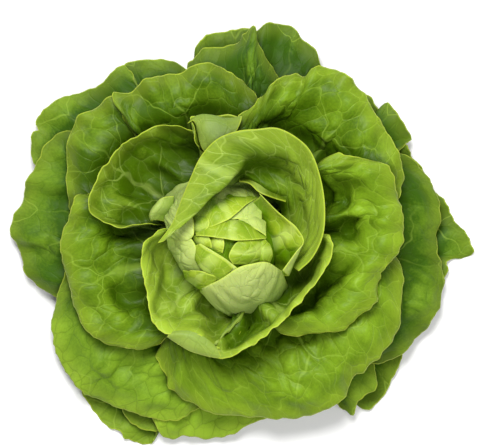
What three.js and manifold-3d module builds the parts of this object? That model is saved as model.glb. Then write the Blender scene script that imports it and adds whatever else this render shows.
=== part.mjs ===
// An open butterhead lettuce, standing on its cut stem. Millimetres, +Z up, seen in plan from
// above. The leaves grow from a short stem in rings: outer leaves that droop to the surface,
// large open leaves over them, cup leaves round the heart, and a closed heart in the middle.
import * as THREE from "three";
import Module from "manifold-3d";

const wasm = await Module();
wasm.setup();

// Plan of the head: the outlines below are drawn in plan units, seen from above.
const PLAN_SCALE = 0.62;
const PLAN_CENTRE_X = 235;
const PLAN_CENTRE_Y = 240;

// The leaves fan out from a ring round the stem. A point of a leaf is a reach away from that
// ring and an elevation angle above the horizontal.
const RING_RADIUS = 4;
const RING_HEIGHT = 17;
const ROOT_REACH = 13.5;

// Stem: a cut butt with a rounded top that the leaves sit round.
const STEM_RADIUS = 16;
const STEM_CLEARANCE = 0.7;

// Leaf blades.
const BLADE_THICKNESS = 0.9;
const ROOT_THICKNESS = 1.2;
const ROOT_GAP = 1.8;
const BLADE_GAP = 2.6;
const SURFACE_CLEARANCE = -1.5;
const RAY_STEPS = [0, 0.09, 0.22, 0.42, 0.64, 0.84, 1];

// Heart: leaves curled over a closed ball.
const HEART_X = -4;
const HEART_Y = -5;
const HEART_Z = 58;
const HEART_HALF_WIDTH = 38;
const HEART_HALF_DEPTH = 37;
const HEART_RISE = 32;
const HEART_DROP = 26;
const HEART_BALL_LAYER = 8;
const HEART_THICKNESS = 1.2;

const TAU = Math.PI * 2;
const DEGREE = Math.PI / 180;
const clamp = (value, low, high) => Math.min(high, Math.max(low, value));
const mix = (a, b, t) => a + (b - a) * t;
const smoother = (t) => t * t * (3 - 2 * t);

// One row a leaf, lowest first. Angles are in degrees, turned from the right of the plan.
// azimuth: where the root sits on the stem. half: half the width of the root.
// rise: the elevation that the blade leaves the stem with.
// bow, peak: how far the blade arches up between root and margin, and where.
// ruffle, waves: height and number of the waves along the margin.
// crease: [place along the margin, depth, width] of a valley, or of a ridge if depth is negative.
// waist: a line that the blade passes on its way to the margin.
// outline: the margin in plan, [x, y, height in mm].
const LEAVES = [
  {
    name: "outer_leaf_back_low", azimuth: 100, half: 24, rise: -22, bow: 9, peak: 0.6,
    ruffle: 2.4, waves: 5, crease: [[0.5, 2.5, 0.07]],
    outline: [
      [250, 165, 14], [277, 100, 13], [268, 50, 7], [255, 30, 5], [240, 28, 4], [222, 31, 4],
      [205, 35, 4], [192, 55, 5], [196, 95, 11], [215, 155, 14],
    ],
  },
  {
    name: "outer_leaf_front_left_low", azimuth: 238, half: 24, rise: -22, bow: 9, peak: 0.55,
    ruffle: 2.6, waves: 7, crease: [[0.5, 2.5, 0.07]],
    outline: [
      [180, 275, 12], [120, 325, 11], [85, 370, 6], [80, 390, 3], [90, 408, 2], [105, 427, 2],
      [119, 433, 2], [126, 441, 2], [150, 446, 2], [157, 430, 3], [175, 395, 7], [205, 330, 12],
    ],
  },
  {
    name: "outer_leaf_right_tail", azimuth: 0, half: 24, rise: -20, bow: 9, peak: 0.55,
    ruffle: 2.0, waves: 8, crease: [[0.55, 3.0, 0.06]],
    outline: [
      [300, 285, 13], [370, 300, 11], [430, 290, 6], [448, 275, 5], [451, 260, 4], [472, 256, 2],
      [474, 246, 2], [467, 231, 2], [455, 220, 4], [447, 200, 5], [437, 192, 5], [425, 170, 7],
      [413, 155, 8], [402, 142, 11], [355, 135, 13], [295, 185, 14],
    ],
  },
  {
    name: "outer_leaf_back_left", azimuth: 115, half: 24, rise: -18, bow: 10, peak: 0.6,
    ruffle: 2.4, waves: 6, crease: [[0.5, 2.5, 0.07]],
    outline: [
      [230, 170, 14], [222, 115, 14], [205, 80, 12], [186, 68, 7], [176, 61, 6], [160, 58, 5],
      [140, 59, 5], [123, 64, 5], [108, 92, 7], [125, 140, 13], [190, 190, 14],
    ],
  },
  {
    name: "outer_leaf_front_right_low", azimuth: 315, half: 22, rise: -18, bow: 8, peak: 0.6,
    ruffle: 2.2, waves: 6, crease: [[0.5, 2.0, 0.07]],
    outline: [
      [265, 305, 14], [315, 360, 12], [345, 395, 6], [366, 411, 3], [378, 405, 2], [390, 388, 2],
      [398, 370, 4], [404, 353, 6], [395, 315, 12], [310, 262, 15],
    ],
  },
  {
    name: "outer_leaf_front_left_small", azimuth: 243, half: 20, rise: -14, bow: 8, peak: 0.6,
    ruffle: 2.0, waves: 6, crease: [[0.5, 2.0, 0.08]],
    outline: [
      [180, 285, 16], [140, 340, 14], [118, 385, 11], [120, 408, 9], [128, 422, 8], [140, 430, 8],
      [157, 432, 9], [180, 425, 10], [205, 380, 13], [217, 320, 16],
    ],
  },
  {
    name: "outer_leaf_back_right", azimuth: 75, half: 24, rise: -12, bow: 11, peak: 0.62,
    ruffle: 2.8, waves: 6, crease: [[0.48, 3.0, 0.06]],
    outline: [
      [290, 190, 18], [325, 130, 17], [335, 90, 14], [323, 66, 12], [316, 50, 10], [303, 38, 9],
      [292, 24, 8], [275, 22, 8], [260, 26, 10], [245, 45, 13], [235, 90, 17], [240, 160, 18],
    ],
  },
  {
    name: "outer_leaf_right_folded", azimuth: 38, half: 20, rise: -12, bow: 7, peak: 0.6,
    ruffle: 1.2, waves: 7, crease: [[0.46, -5.0, 0.05], [0.58, 4.0, 0.04]],
    outline: [
      [300, 215, 17], [370, 190, 17], [398, 152, 15], [409, 142, 12], [413, 136, 11],
      [403, 120, 14], [388, 101, 18], [383, 114, 13], [376, 102, 12], [365, 93, 12],
      [335, 105, 16], [280, 170, 18],
    ],
  },
  {
    name: "outer_leaf_left_back", azimuth: 143, half: 26, rise: -10, bow: 12, peak: 0.62,
    ruffle: 2.8, waves: 8, crease: [[0.42, 3.0, 0.05], [0.7, 2.0, 0.05]],
    outline: [
      [215, 185, 18], [170, 120, 18], [140, 90, 15], [124, 64, 15], [110, 71, 12], [98, 84, 11],
      [80, 91, 10], [60, 97, 9], [45, 107, 8], [35, 121, 8], [37, 130, 9], [31, 132, 8],
      [29, 147, 8], [33, 163, 10], [60, 190, 14], [120, 205, 17], [178, 222, 18],
    ],
  },
  {
    name: "outer_leaf_front", azimuth: 262, half: 24, rise: -10, bow: 11, peak: 0.6,
    ruffle: 2.4, waves: 8, crease: [[0.5, 2.5, 0.06]],
    outline: [
      [205, 300, 19], [165, 360, 18], [150, 405, 15], [158, 432, 12], [170, 441, 10],
      [185, 437, 9], [205, 441, 9], [222, 439, 9], [240, 432, 10], [255, 423, 12], [275, 412, 15],
      [288, 370, 18], [265, 305, 20],
    ],
  },
  {
    name: "outer_leaf_front_right_curled", azimuth: 300, half: 20, rise: -8, bow: 8, peak: 0.62,
    ruffle: 1.5, waves: 7, crease: [[0.4, 2.5, 0.06]],
    outline: [
      [245, 305, 19], [280, 350, 18], [315, 385, 15], [338, 405, 12], [353, 417, 9], [358, 404, 12],
      [368, 395, 16], [377, 390, 17], [376, 372, 17], [360, 335, 19], [292, 285, 20],
    ],
  },
  {
    name: "outer_leaf_back_folded", azimuth: 98, half: 22, rise: -4, bow: 9, peak: 0.65,
    ruffle: 1.5, waves: 6, crease: [[0.46, -7.0, 0.06], [0.58, 4.0, 0.07]],
    outline: [
      [268, 170, 22], [288, 120, 23], [278, 75, 23], [262, 50, 25], [255, 25, 26], [245, 33, 21],
      [232, 43, 18], [215, 47, 17], [204, 47, 17], [192, 58, 16], [186, 68, 17], [190, 100, 20],
      [215, 160, 22],
    ],
  },
  {
    name: "outer_leaf_left", azimuth: 176, half: 28, rise: -4, bow: 14, peak: 0.62,
    ruffle: 3.0, waves: 9, crease: [[0.47, 5.0, 0.05], [0.3, 2.0, 0.04], [0.66, 2.0, 0.04]],
    outline: [
      [185, 205, 20], [125, 155, 21], [75, 131, 18], [50, 138, 15], [35, 163, 13], [23, 187, 12],
      [20, 203, 12], [9, 222, 10], [10, 236, 10], [19, 252, 11], [22, 270, 11], [33, 284, 12],
      [57, 298, 14], [105, 300, 20], [170, 275, 21],
    ],
  },
  {
    name: "outer_leaf_right", azimuth: 348, half: 28, rise: 0, bow: 14, peak: 0.64,
    ruffle: 2.8, waves: 9, crease: [[0.5, 3.0, 0.05]],
    outline: [
      [268, 295, 22], [320, 350, 22], [372, 364, 18], [398, 358, 14], [418, 340, 12],
      [437, 315, 11], [445, 290, 12], [444, 265, 13], [438, 250, 14], [441, 220, 14],
      [440, 200, 14], [427, 173, 16], [400, 152, 19], [350, 150, 22], [290, 200, 22],
    ],
  },
  {
    name: "outer_leaf_left_front", azimuth: 226, half: 28, rise: 2, bow: 14, peak: 0.64,
    ruffle: 2.8, waves: 9, crease: [[0.56, 5.0, 0.05], [0.36, 2.0, 0.05]],
    outline: [
      [185, 235, 24], [125, 240, 25], [75, 262, 24], [60, 285, 20], [54, 305, 18], [50, 328, 16],
      [54, 350, 15], [67, 377, 15], [85, 395, 16], [110, 407, 17], [140, 416, 18], [168, 422, 18],
      [190, 413, 20], [205, 400, 22], [222, 350, 25], [218, 290, 25],
    ],
  },
  {
    name: "middle_leaf_left_back", azimuth: 150, half: 24, rise: 4, bow: 11, peak: 0.62,
    ruffle: 2.6, waves: 8, crease: [[0.44, 4.0, 0.06]],
    outline: [
      [205, 190, 26], [165, 130, 32], [135, 97, 32], [112, 95, 32], [95, 107, 30], [78, 117, 30],
      [69, 133, 29], [66, 152, 29], [66, 180, 30], [67, 200, 31], [72, 213, 31], [115, 225, 32],
      [182, 232, 27],
    ],
  },
  {
    name: "middle_leaf_front", azimuth: 292, half: 30, rise: 8, bow: 18, peak: 0.62,
    ruffle: 3.0, waves: 10, crease: [[0.53, 5.0, 0.045], [0.3, 2.5, 0.05]],
    outline: [
      [195, 290, 27], [168, 330, 32], [157, 355, 34], [165, 375, 33], [175, 395, 32],
      [195, 405, 30], [220, 416, 28], [255, 418, 28], [295, 420, 28], [325, 411, 30],
      [345, 400, 31], [354, 378, 34], [372, 366, 33], [390, 345, 34], [401, 325, 35],
      [402, 300, 36], [403, 275, 37], [392, 252, 37], [335, 240, 32], [280, 265, 27],
    ],
  },
  {
    name: "middle_leaf_left_front", azimuth: 206, half: 28, rise: 10, bow: 11, peak: 0.64,
    ruffle: 2.6, waves: 9, crease: [[0.6, 5.0, 0.05], [0.35, 2.0, 0.05]],
    outline: [
      [185, 218, 29], [130, 203, 38], [82, 193, 43], [70, 213, 43], [61, 240, 42], [61, 262, 41],
      [69, 290, 40], [77, 317, 40], [95, 338, 40], [120, 348, 40], [148, 349, 42], [168, 336, 42],
      [188, 300, 36], [203, 278, 29],
    ],
  },
  {
    name: "middle_leaf_back", azimuth: 108, half: 26, rise: 10, bow: 11, peak: 0.64,
    ruffle: 2.8, waves: 8, crease: [[0.43, 6.0, 0.06]],
    outline: [
      [255, 180, 29], [268, 130, 38], [259, 100, 42], [248, 85, 42], [228, 71, 42], [210, 62, 43],
      [190, 66, 43], [178, 73, 42], [150, 77, 42], [130, 92, 42], [112, 95, 41], [135, 135, 38],
      [202, 195, 29],
    ],
  },
  {
    name: "cup_leaf_left", azimuth: 155, half: 26, rise: 14, bow: 2, peak: 0.75,
    ruffle: 1.8, waves: 8, crease: [[0.5, 4.0, 0.08]],
    outline: [
      [212, 185, 31], [203, 145, 50], [187, 128, 62], [165, 126, 62], [140, 134, 60],
      [118, 150, 60], [100, 175, 60], [89, 200, 57], [95, 217, 56], [120, 226, 56], [148, 223, 54],
      [188, 228, 32],
    ],
  },
  {
    name: "cup_leaf_back_small", azimuth: 105, half: 18, rise: 18, bow: 2, peak: 0.75,
    ruffle: 0.5, waves: 5, crease: [[0.5, 1.5, 0.1]],
    outline: [
      [243, 180, 33], [250, 140, 56], [240, 119, 62], [222, 115, 63], [205, 117, 64],
      [190, 117, 64], [195, 130, 62], [198, 146, 60], [203, 153, 55], [214, 182, 33],
    ],
  },
  {
    name: "middle_leaf_right_back", azimuth: 48, half: 30, rise: 16, bow: 11, peak: 0.68,
    ruffle: 3.0, waves: 10, crease: [[0.67, 6.0, 0.045], [0.45, 2.5, 0.05]],
    outline: [
      [285, 232, 31], [345, 215, 42], [392, 205, 46], [403, 185, 47], [403, 165, 47],
      [396, 147, 47], [382, 123, 47], [365, 95, 48], [348, 76, 48], [325, 66, 49], [313, 68, 50],
      [304, 76, 48], [296, 73, 51], [280, 78, 52], [268, 88, 53], [255, 104, 55], [240, 117, 58],
      [228, 133, 60], [240, 178, 33],
    ],
  },
  {
    name: "middle_leaf_right", azimuth: 352, half: 30, rise: 18, bow: 10, peak: 0.72,
    ruffle: 2.6, waves: 9, crease: [[0.45, 3.0, 0.05]],
    outline: [
      [255, 282, 33], [268, 325, 50], [295, 336, 52], [325, 332, 51], [340, 332, 50],
      [358, 318, 50], [376, 303, 50], [380, 285, 52], [383, 270, 54], [398, 254, 54],
      [404, 232, 55], [401, 205, 57], [394, 182, 60], [387, 165, 62], [360, 158, 64],
      [325, 158, 64], [288, 203, 34],
    ],
  },
  {
    name: "cup_leaf_right_front", azimuth: 300, half: 32, rise: 20, bow: 5, peak: 0.8,
    ruffle: 1.2, waves: 9, crease: [[0.3, 2.0, 0.05]],
    outline: [
      [205, 282, 36], [180, 315, 60], [169, 339, 68], [190, 354, 70], [208, 359, 71],
      [222, 360, 72], [240, 352, 74], [262, 339, 75], [283, 320, 76], [300, 300, 77],
      [320, 278, 78], [331, 255, 78], [332, 241, 77], [320, 234, 70], [272, 250, 37],
    ],
  },
  {
    name: "cup_leaf_left_front", azimuth: 218, half: 32, rise: 24, bow: 1, peak: 0.8,
    ruffle: 1.2, waves: 9, crease: [[0.4, 2.5, 0.06], [0.7, 2.0, 0.05]],
    outline: [
      [198, 222, 37], [165, 228, 64], [150, 238, 74], [143, 247, 75], [142, 262, 74],
      [145, 282, 73], [148, 303, 72], [152, 319, 72], [160, 329, 72], [168, 335, 72],
      [190, 337, 74], [203, 344, 74], [214, 351, 73], [222, 351, 70], [230, 337, 60],
      [240, 320, 46], [245, 300, 38],
    ],
  },
  {
    name: "heart_leaf_left", azimuth: 186, half: 30, rise: 30, bow: -8, peak: 0.5,
    ruffle: 0.8, waves: 6, crease: [[0.5, 1.5, 0.08]],
    outline: [
      [212, 205, 44], [190, 186, 63], [194, 198, 73], [196, 210, 77], [195, 222, 79],
      [193, 236, 79], [197, 252, 77], [204, 268, 73], [188, 277, 61], [205, 285, 44],
    ],
    waist: [
      [200, 215, 40], [172, 200, 52], [160, 215, 56], [158, 230, 58], [166, 250, 56],
      [180, 270, 50], [205, 280, 40],
    ],
  },
  {
    name: "cup_leaf_arched", azimuth: 50, half: 40, rise: 26, bow: 12, peak: 0.75,
    ruffle: 1.2, waves: 12, crease: [[0.3, 2.0, 0.04], [0.5, 2.5, 0.04]],
    outline: [
      [272, 262, 40], [284, 272, 62], [298, 271, 76], [311, 256, 80], [321, 235, 82],
      [324, 208, 84], [320, 180, 86], [311, 154, 88], [297, 139, 89], [277, 129, 90],
      [262, 129, 90], [248, 134, 88], [233, 133, 88], [215, 142, 89], [200, 158, 89],
      [190, 180, 94], [180, 204, 94], [172, 222, 95], [158, 243, 94], [172, 236, 96],
      [190, 223, 96], [203, 210, 94], [214, 196, 88],
    ],
    waist: [
      [272, 256, 36], [290, 252, 40], [300, 240, 44], [306, 225, 46], [306, 205, 48],
      [300, 188, 50], [290, 174, 52], [275, 165, 54], [255, 162, 54], [238, 163, 54],
      [224, 168, 54], [216, 176, 52], [214, 184, 46],
    ],
  },
  {
    name: "heart_leaf_right", azimuth: 355, half: 28, rise: 34, bow: 2, peak: 0.7,
    ruffle: 0.8, waves: 7, crease: [[0.5, 2.0, 0.06]],
    outline: [
      [262, 270, 52], [280, 270, 68], [290, 259, 76], [300, 249, 80], [304, 238, 82],
      [299, 229, 84], [290, 220, 85], [280, 213, 86], [269, 204, 87], [259, 196, 87],
      [258, 210, 76], [256, 224, 62],
    ],
  },
];

// Leaves curled over the heart, outermost first. layer: depth under the outermost in mm.
// fused: grown into the closed heart; the others are leaves of their own.
const HEART_LEAVES = [
  {
    name: "heart_leaf_front", azimuth: 282, half: 55, layer: 0, foot: 0.35, fused: false,
    outline: [
      [201, 287], [210, 282], [220, 277], [232, 270], [242, 264], [253, 261], [263, 262],
      [272, 266], [279, 272], [284, 281],
    ],
  },
  {
    name: "heart_leaf_top", azimuth: 150, half: 45, layer: 1, foot: 0.6, fused: false,
    outline: [
      [212, 224], [222, 222], [229, 218], [236, 214], [243, 209], [250, 204], [258, 197],
      [235, 197], [217, 196], [205, 200],
    ],
  },
  {
    name: "small_left", azimuth: 225, half: 40, layer: 4.2, foot: 1.25, fused: true,
    outline: [
      [182, 268], [192, 270], [203, 272], [216, 277], [222, 284], [214, 292],
    ],
  },
  {
    name: "dome", azimuth: 85, half: 45, layer: 4.4, foot: 1.25, fused: true,
    outline: [
      [214, 192], [216, 200], [226, 204], [240, 205], [252, 202], [260, 196], [262, 186],
    ],
  },
  {
    name: "small_back", azimuth: 50, half: 40, layer: 5.6, foot: 1.25, fused: true,
    outline: [
      [224, 208], [228, 216], [240, 220], [254, 222], [263, 226], [266, 214], [262, 200],
    ],
  },
  {
    name: "small_lens", azimuth: 120, half: 50, layer: 6.6, foot: 1.25, fused: true,
    outline: [
      [202, 228], [205, 236], [220, 238], [238, 238], [254, 238], [266, 236], [266, 226],
    ],
  },
  {
    name: "small_slant", azimuth: 205, half: 45, layer: 6.4, foot: 1.25, fused: true,
    outline: [
      [193, 236], [202, 246], [213, 256], [224, 266], [232, 274], [222, 284],
    ],
  },
];

function spline(outline, steps) {
  // Catmull-Rom curve through the outline, in mm, at equal steps of its length in plan.
  const points = outline.map(([x, y, z = 0]) => [
    (x - PLAN_CENTRE_X) * PLAN_SCALE,
    (PLAN_CENTRE_Y - y) * PLAN_SCALE,
    z,
  ]);
  const first = points[0].map((value, k) => 2 * value - points[1][k]);
  const last = points.at(-1).map((value, k) => 2 * value - points.at(-2)[k]);
  const knots = [first, ...points, last];
  const fine = [];
  for (let i = 1; i < knots.length - 2; i += 1) {
    for (let j = 0; j < 24; j += 1) {
      const t = j / 24;
      fine.push(knots[i].map((b, k) => {
        const [a, c, d] = [knots[i - 1][k], knots[i + 1][k], knots[i + 2][k]];
        const square = 2 * a - 5 * b + 4 * c - d;
        const cube = -a + 3 * b - 3 * c + d;
        return 0.5 * (2 * b + (c - a) * t + square * t * t + cube * t * t * t);
      }));
    }
  }
  fine.push(points.at(-1));
  const along = [0];
  for (let i = 1; i < fine.length; i += 1) {
    const step = Math.hypot(fine[i][0] - fine[i - 1][0], fine[i][1] - fine[i - 1][1]);
    along.push(along[i - 1] + step);
  }
  const result = [];
  let k = 1;
  for (let i = 0; i <= steps; i += 1) {
    const target = (along.at(-1) * i) / steps;
    while (k < along.length - 1 && along[k] < target) k += 1;
    const t = clamp((target - along[k - 1]) / (along[k] - along[k - 1] || 1), 0, 1);
    result.push(fine[k - 1].map((value, n) => mix(value, fine[k][n], t)));
  }
  return result;
}

// The pile: for each direction round the stem and each reach, how high the leaves laid so far
// stand, as an elevation angle.
const TURNS = 180;
const REACHES = 66;
const REACH_START = 10;
const REACH_STEP = 2.5;
const reachOf = (row) => REACH_START + REACH_STEP * row;

class Pile {
  constructor() {
    // At first only the surface that the head stands on.
    this.top = [];
    for (let row = 0; row < REACHES; row += 1) {
      const reach = reachOf(row);
      const low = Math.asin(clamp((SURFACE_CLEARANCE - RING_HEIGHT) / reach, -1, 1));
      this.top.push(new Float64Array(TURNS).fill(reach < 18 ? -1.2 : low));
    }
  }

  support(width = 6) {
    // The pile widened by a few millimetres and then smoothed, so it never dips below itself.
    const wide = this.top.map((_, row) => {
      const cells = new Float64Array(TURNS).fill(-9);
      for (let near = row - 2; near <= row + 2; near += 1) {
        if (near < 0 || near >= REACHES) continue;
        for (let i = 0; i < TURNS; i += 1) cells[i] = Math.max(cells[i], this.top[near][i]);
      }
      return cells;
    });
    const level = wide.map((cells, row) => {
      const step = ((RING_RADIUS + reachOf(row)) * TAU) / TURNS;
      const n = clamp(Math.ceil(width / step), 1, 9);
      const highest = new Float64Array(TURNS);
      for (let i = 0; i < TURNS; i += 1) {
        let value = -9;
        for (let s = -n; s <= n; s += 1) value = Math.max(value, cells[(i + s + TURNS) % TURNS]);
        highest[i] = value;
      }
      const even = new Float64Array(TURNS);
      for (let i = 0; i < TURNS; i += 1) {
        let sum = 0;
        for (let s = -n; s <= n; s += 1) sum += highest[(i + s + TURNS) % TURNS];
        even[i] = sum / (2 * n + 1);
      }
      return even;
    });
    return level.map((_, row) => {
      const cells = new Float64Array(TURNS);
      for (let near = row - 2; near <= row + 2; near += 1) {
        const from = level[clamp(near, 0, REACHES - 1)];
        for (let i = 0; i < TURNS; i += 1) cells[i] += from[i] / 5;
      }
      return cells;
    });
  }

  lay(points) {
    for (const { turn, reach, lift } of points) {
      const column = (Math.round((turn / TAU) * TURNS) % TURNS + TURNS) % TURNS;
      const row = clamp(Math.round((reach - REACH_START) / REACH_STEP), 0, REACHES - 1);
      this.top[row][column] = Math.max(this.top[row][column], lift);
    }
  }
}

function readPile(cells, turn, reach) {
  const a = ((turn / TAU) * TURNS % TURNS + TURNS) % TURNS;
  const b = clamp((reach - REACH_START) / REACH_STEP, 0, REACHES - 1.001);
  const column = Math.floor(a) % TURNS;
  const next = (column + 1) % TURNS;
  const row = Math.floor(b);
  const low = mix(cells[row][column], cells[row][next], a - Math.floor(a));
  const high = mix(cells[row + 1][column], cells[row + 1][next], a - Math.floor(a));
  return mix(low, high, b - row);
}

const gapAt = (reach) => mix(ROOT_GAP, BLADE_GAP, clamp((reach - ROOT_REACH) / 25, 0, 1));
const softMax = (a, b, k) => 0.5 * (a + b + Math.hypot(a - b, k));

function restOn(cells, turn, reach, lift) {
  // The elevation of a blade that can't sink into the pile under it.
  const least = readPile(cells, turn, reach) + gapAt(reach) / reach;
  return softMax(lift, least, 1.2 / reach);
}

function place(turn, reach, lift) {
  const radius = RING_RADIUS + reach * Math.cos(lift);
  return new THREE.Vector3(
    radius * Math.cos(turn),
    radius * Math.sin(turn),
    RING_HEIGHT + reach * Math.sin(lift),
  );
}

function leafRays(leaf, index, cells, across) {
  // One ray for each step along the margin: where it starts, bends and ends, laid out flat.
  const margin = spline(leaf.outline, across);
  const waist = leaf.waist ? spline(leaf.waist, across) : null;
  const azimuth = leaf.azimuth * DEGREE;
  const start = Math.atan2(margin[0][1], margin[0][0]) - azimuth;
  const side = Math.sin(start) > 0 ? 1 : -1;
  return margin.map(([x, y, z], i) => {
    const u = i / across;
    const turn = Math.atan2(y, x);
    const radius = Math.hypot(x, y);
    const lift = Math.atan2(z - RING_HEIGHT, radius - RING_RADIUS);
    let reach = Math.hypot(z - RING_HEIGHT, radius - RING_RADIUS);
    for (let pass = 0; pass < 3; pass += 1) {
      // Lifting the margin keeps its place in plan.
      const raised = restOn(cells, turn, reach, lift + relief(leaf, index, u, 1) / reach);
      reach = (radius - RING_RADIUS) / Math.cos(Math.min(raised, 1.3));
    }
    const root = azimuth + side * (1 - 2 * u) * leaf.half * DEGREE;
    const from = [ROOT_REACH * Math.cos(root), ROOT_REACH * Math.sin(root)];
    const to = [reach * Math.cos(turn), reach * Math.sin(turn)];
    let by = [(from[0] + to[0]) / 2, (from[1] + to[1]) / 2];
    if (waist) {
      const [wx, wy, wz] = waist[i];
      const far = Math.hypot(Math.hypot(wx, wy) - RING_RADIUS, wz - RING_HEIGHT);
      const way = Math.atan2(wy, wx);
      by = [far * Math.cos(way), far * Math.sin(way)];
    }
    return { u, from, by, to, lift };
  });
}

function relief(leaf, index, u, v) {
  // Millimetres that the blade stands off its smooth form: arch, waved margin and creases.
  const power = Math.log(0.5) / Math.log(leaf.peak);
  const phase = index * 1.7;
  const wave = 0.65 * Math.sin(TAU * leaf.waves * u + phase)
    + 0.35 * Math.sin(TAU * 1.63 * leaf.waves * u + 2.1 * phase);
  let height = leaf.bow * Math.sin(Math.PI * v ** power);
  height += leaf.ruffle * wave * v ** 3.5;
  for (const [at, depth, width] of leaf.crease) {
    const run = smoother(clamp(v / 0.3, 0, 1)) * (1 - 0.55 * v * v);
    height -= depth * Math.exp(-(((u - at) / width) ** 2)) * run;
  }
  return height;
}

function leafPoint(leaf, index, cells, ray, v) {
  const w = 1 - v;
  const x = w * w * ray.from[0] + 2 * v * w * ray.by[0] + v * v * ray.to[0];
  const y = w * w * ray.from[1] + 2 * v * w * ray.by[1] + v * v * ray.to[1];
  const reach = Math.max(Math.hypot(x, y), ROOT_REACH);
  const turn = Math.atan2(y, x);
  const lift = mix(leaf.rise * DEGREE, ray.lift, v) + relief(leaf, index, ray.u, v) / reach;
  return { turn, reach, lift: restOn(cells, turn, reach, lift) };
}

function heartRay(leaf, u) {
  // A ray of a curled leaf on the ball, flattened round the foot of the heart.
  const [x, y] = leaf.margin[Math.round(u * (leaf.margin.length - 1))];
  const shrink = 1 - leaf.layer / HEART_HALF_WIDTH;
  const px = (x - HEART_X) / (HEART_HALF_WIDTH * shrink);
  const py = (y - HEART_Y) / (HEART_HALF_DEPTH * shrink);
  const polar = Math.PI - Math.asin(Math.min(0.995, Math.hypot(px, py)));
  const way = Math.atan2(py, px);
  const azimuth = leaf.azimuth * DEGREE;
  const start = Math.atan2(leaf.margin[0][1] - HEART_Y, leaf.margin[0][0] - HEART_X) - azimuth;
  const side = Math.sin(start) > 0 ? 1 : -1;
  const root = azimuth + side * (1 - 2 * u) * leaf.half * DEGREE;
  return {
    from: [leaf.foot * Math.cos(root), leaf.foot * Math.sin(root)],
    to: [polar * Math.cos(way), polar * Math.sin(way)],
  };
}

function ballPoint(cells, polar, way, layer) {
  // polar runs from 0 at the foot of the heart to pi at its top.
  const shrink = 1 - layer / HEART_HALF_WIDTH;
  const high = -Math.cos(polar);
  const x = HEART_X + HEART_HALF_WIDTH * shrink * Math.sin(polar) * Math.cos(way);
  const y = HEART_Y + HEART_HALF_DEPTH * shrink * Math.sin(polar) * Math.sin(way);
  const z = HEART_Z + (high > 0 ? HEART_RISE : HEART_DROP) * shrink * high;
  const turn = Math.atan2(y, x);
  const radius = Math.hypot(x, y);
  const reach = Math.hypot(radius - RING_RADIUS, z - RING_HEIGHT);
  const lift = Math.atan2(z - RING_HEIGHT, radius - RING_RADIUS);
  if (reach < ROOT_REACH) return { turn, reach, lift };
  // Deeper layers stay as far apart where the leaves below press on them.
  const least = readPile(cells, turn, reach) + (gapAt(reach) + Math.max(0, layer - 4)) / reach;
  return { turn, reach, lift: Math.max(lift, least) };
}

function gridOf(across, deep, pointAt) {
  const grid = [];
  for (let i = 0; i <= across; i += 1) {
    const row = [];
    for (let j = 0; j <= deep; j += 1) row.push(pointAt(i / across, j / deep));
    grid.push(row);
  }
  return grid;
}

function slab(above, below) {
  // The closed body between two grids of points. Both faces are split alike.
  const across = above.length - 1;
  const deep = above[0].length - 1;
  const at = (i, j) => i * (deep + 1) + j;
  const points = [...above.flat(), ...below.flat()];
  const under = points.length / 2;
  const faces = [];
  for (let i = 0; i < across; i += 1) {
    for (let j = 0; j < deep; j += 1) {
      const [a, b, c, d] = [at(i, j), at(i + 1, j), at(i + 1, j + 1), at(i, j + 1)];
      const slant = points[a].distanceTo(points[c]) <= points[b].distanceTo(points[d]);
      const pair = slant ? [[a, b, c], [a, c, d]] : [[a, b, d], [b, c, d]];
      for (const [p, q, r] of pair) {
        faces.push([p, q, r], [p + under, r + under, q + under]);
      }
    }
  }
  const edge = [];
  for (let i = 0; i < across; i += 1) edge.push([at(i, 0), at(i + 1, 0)]);
  for (let j = 0; j < deep; j += 1) edge.push([at(across, j), at(across, j + 1)]);
  for (let i = across; i > 0; i -= 1) edge.push([at(i, deep), at(i - 1, deep)]);
  for (let j = deep; j > 0; j -= 1) edge.push([at(0, j), at(0, j - 1)]);
  for (const [p, q] of edge) faces.push([q, p, p + under], [q, p + under, q + under]);
  return { points, faces };
}

function blade(grid, thicknessAt) {
  // A closed thin blade about a grid of mid points.
  const across = grid.length - 1;
  const deep = grid[0].length - 1;
  const offset = (i, j, side) => {
    const du = new THREE.Vector3().subVectors(
      grid[Math.min(i + 1, across)][j],
      grid[Math.max(i - 1, 0)][j],
    );
    const dv = new THREE.Vector3().subVectors(
      grid[i][Math.min(j + 1, deep)],
      grid[i][Math.max(j - 1, 0)],
    );
    const half = (side * thicknessAt(i / across, j / deep)) / 2;
    return grid[i][j].clone().addScaledVector(du.cross(dv).normalize(), half);
  };
  const face = (side) => grid.map((row, i) => row.map((_, j) => offset(i, j, side)));
  return slab(face(1), face(-1));
}

function closedBody({ points, faces }) {
  const geometry = new THREE.BufferGeometry();
  geometry.setAttribute(
    "position",
    new THREE.Float32BufferAttribute(points.flatMap((p) => [p.x, p.y, p.z]), 3),
  );
  geometry.setIndex(faces.flat());
  geometry.computeVertexNormals();
  return geometry;
}

function outward({ points, faces }) {
  // Turns the faces over where the body would come out inside out.
  let volume = 0;
  for (const [a, b, c] of faces) {
    volume += points[a].dot(new THREE.Vector3().crossVectors(points[b], points[c]));
  }
  return { points, faces: volume > 0 ? faces : faces.map(([a, b, c]) => [a, c, b]) };
}

function solidOf(body) {
  return new wasm.Manifold(new wasm.Mesh({
    numProp: 3,
    vertProperties: Float32Array.from(body.points.flatMap((p) => [p.x, p.y, p.z])),
    triVerts: Uint32Array.from(body.faces.flat()),
  }));
}

function geometryOf(solid) {
  const mesh = solid.getMesh();
  const geometry = new THREE.BufferGeometry();
  const positions = [];
  for (let i = 0; i < mesh.vertProperties.length; i += mesh.numProp) {
    positions.push(...mesh.vertProperties.slice(i, i + 3));
  }
  geometry.setAttribute("position", new THREE.Float32BufferAttribute(positions, 3));
  geometry.setIndex([...mesh.triVerts]);
  geometry.computeVertexNormals();
  return geometry;
}

const head = new THREE.Group();
head.name = "lettuce";

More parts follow.
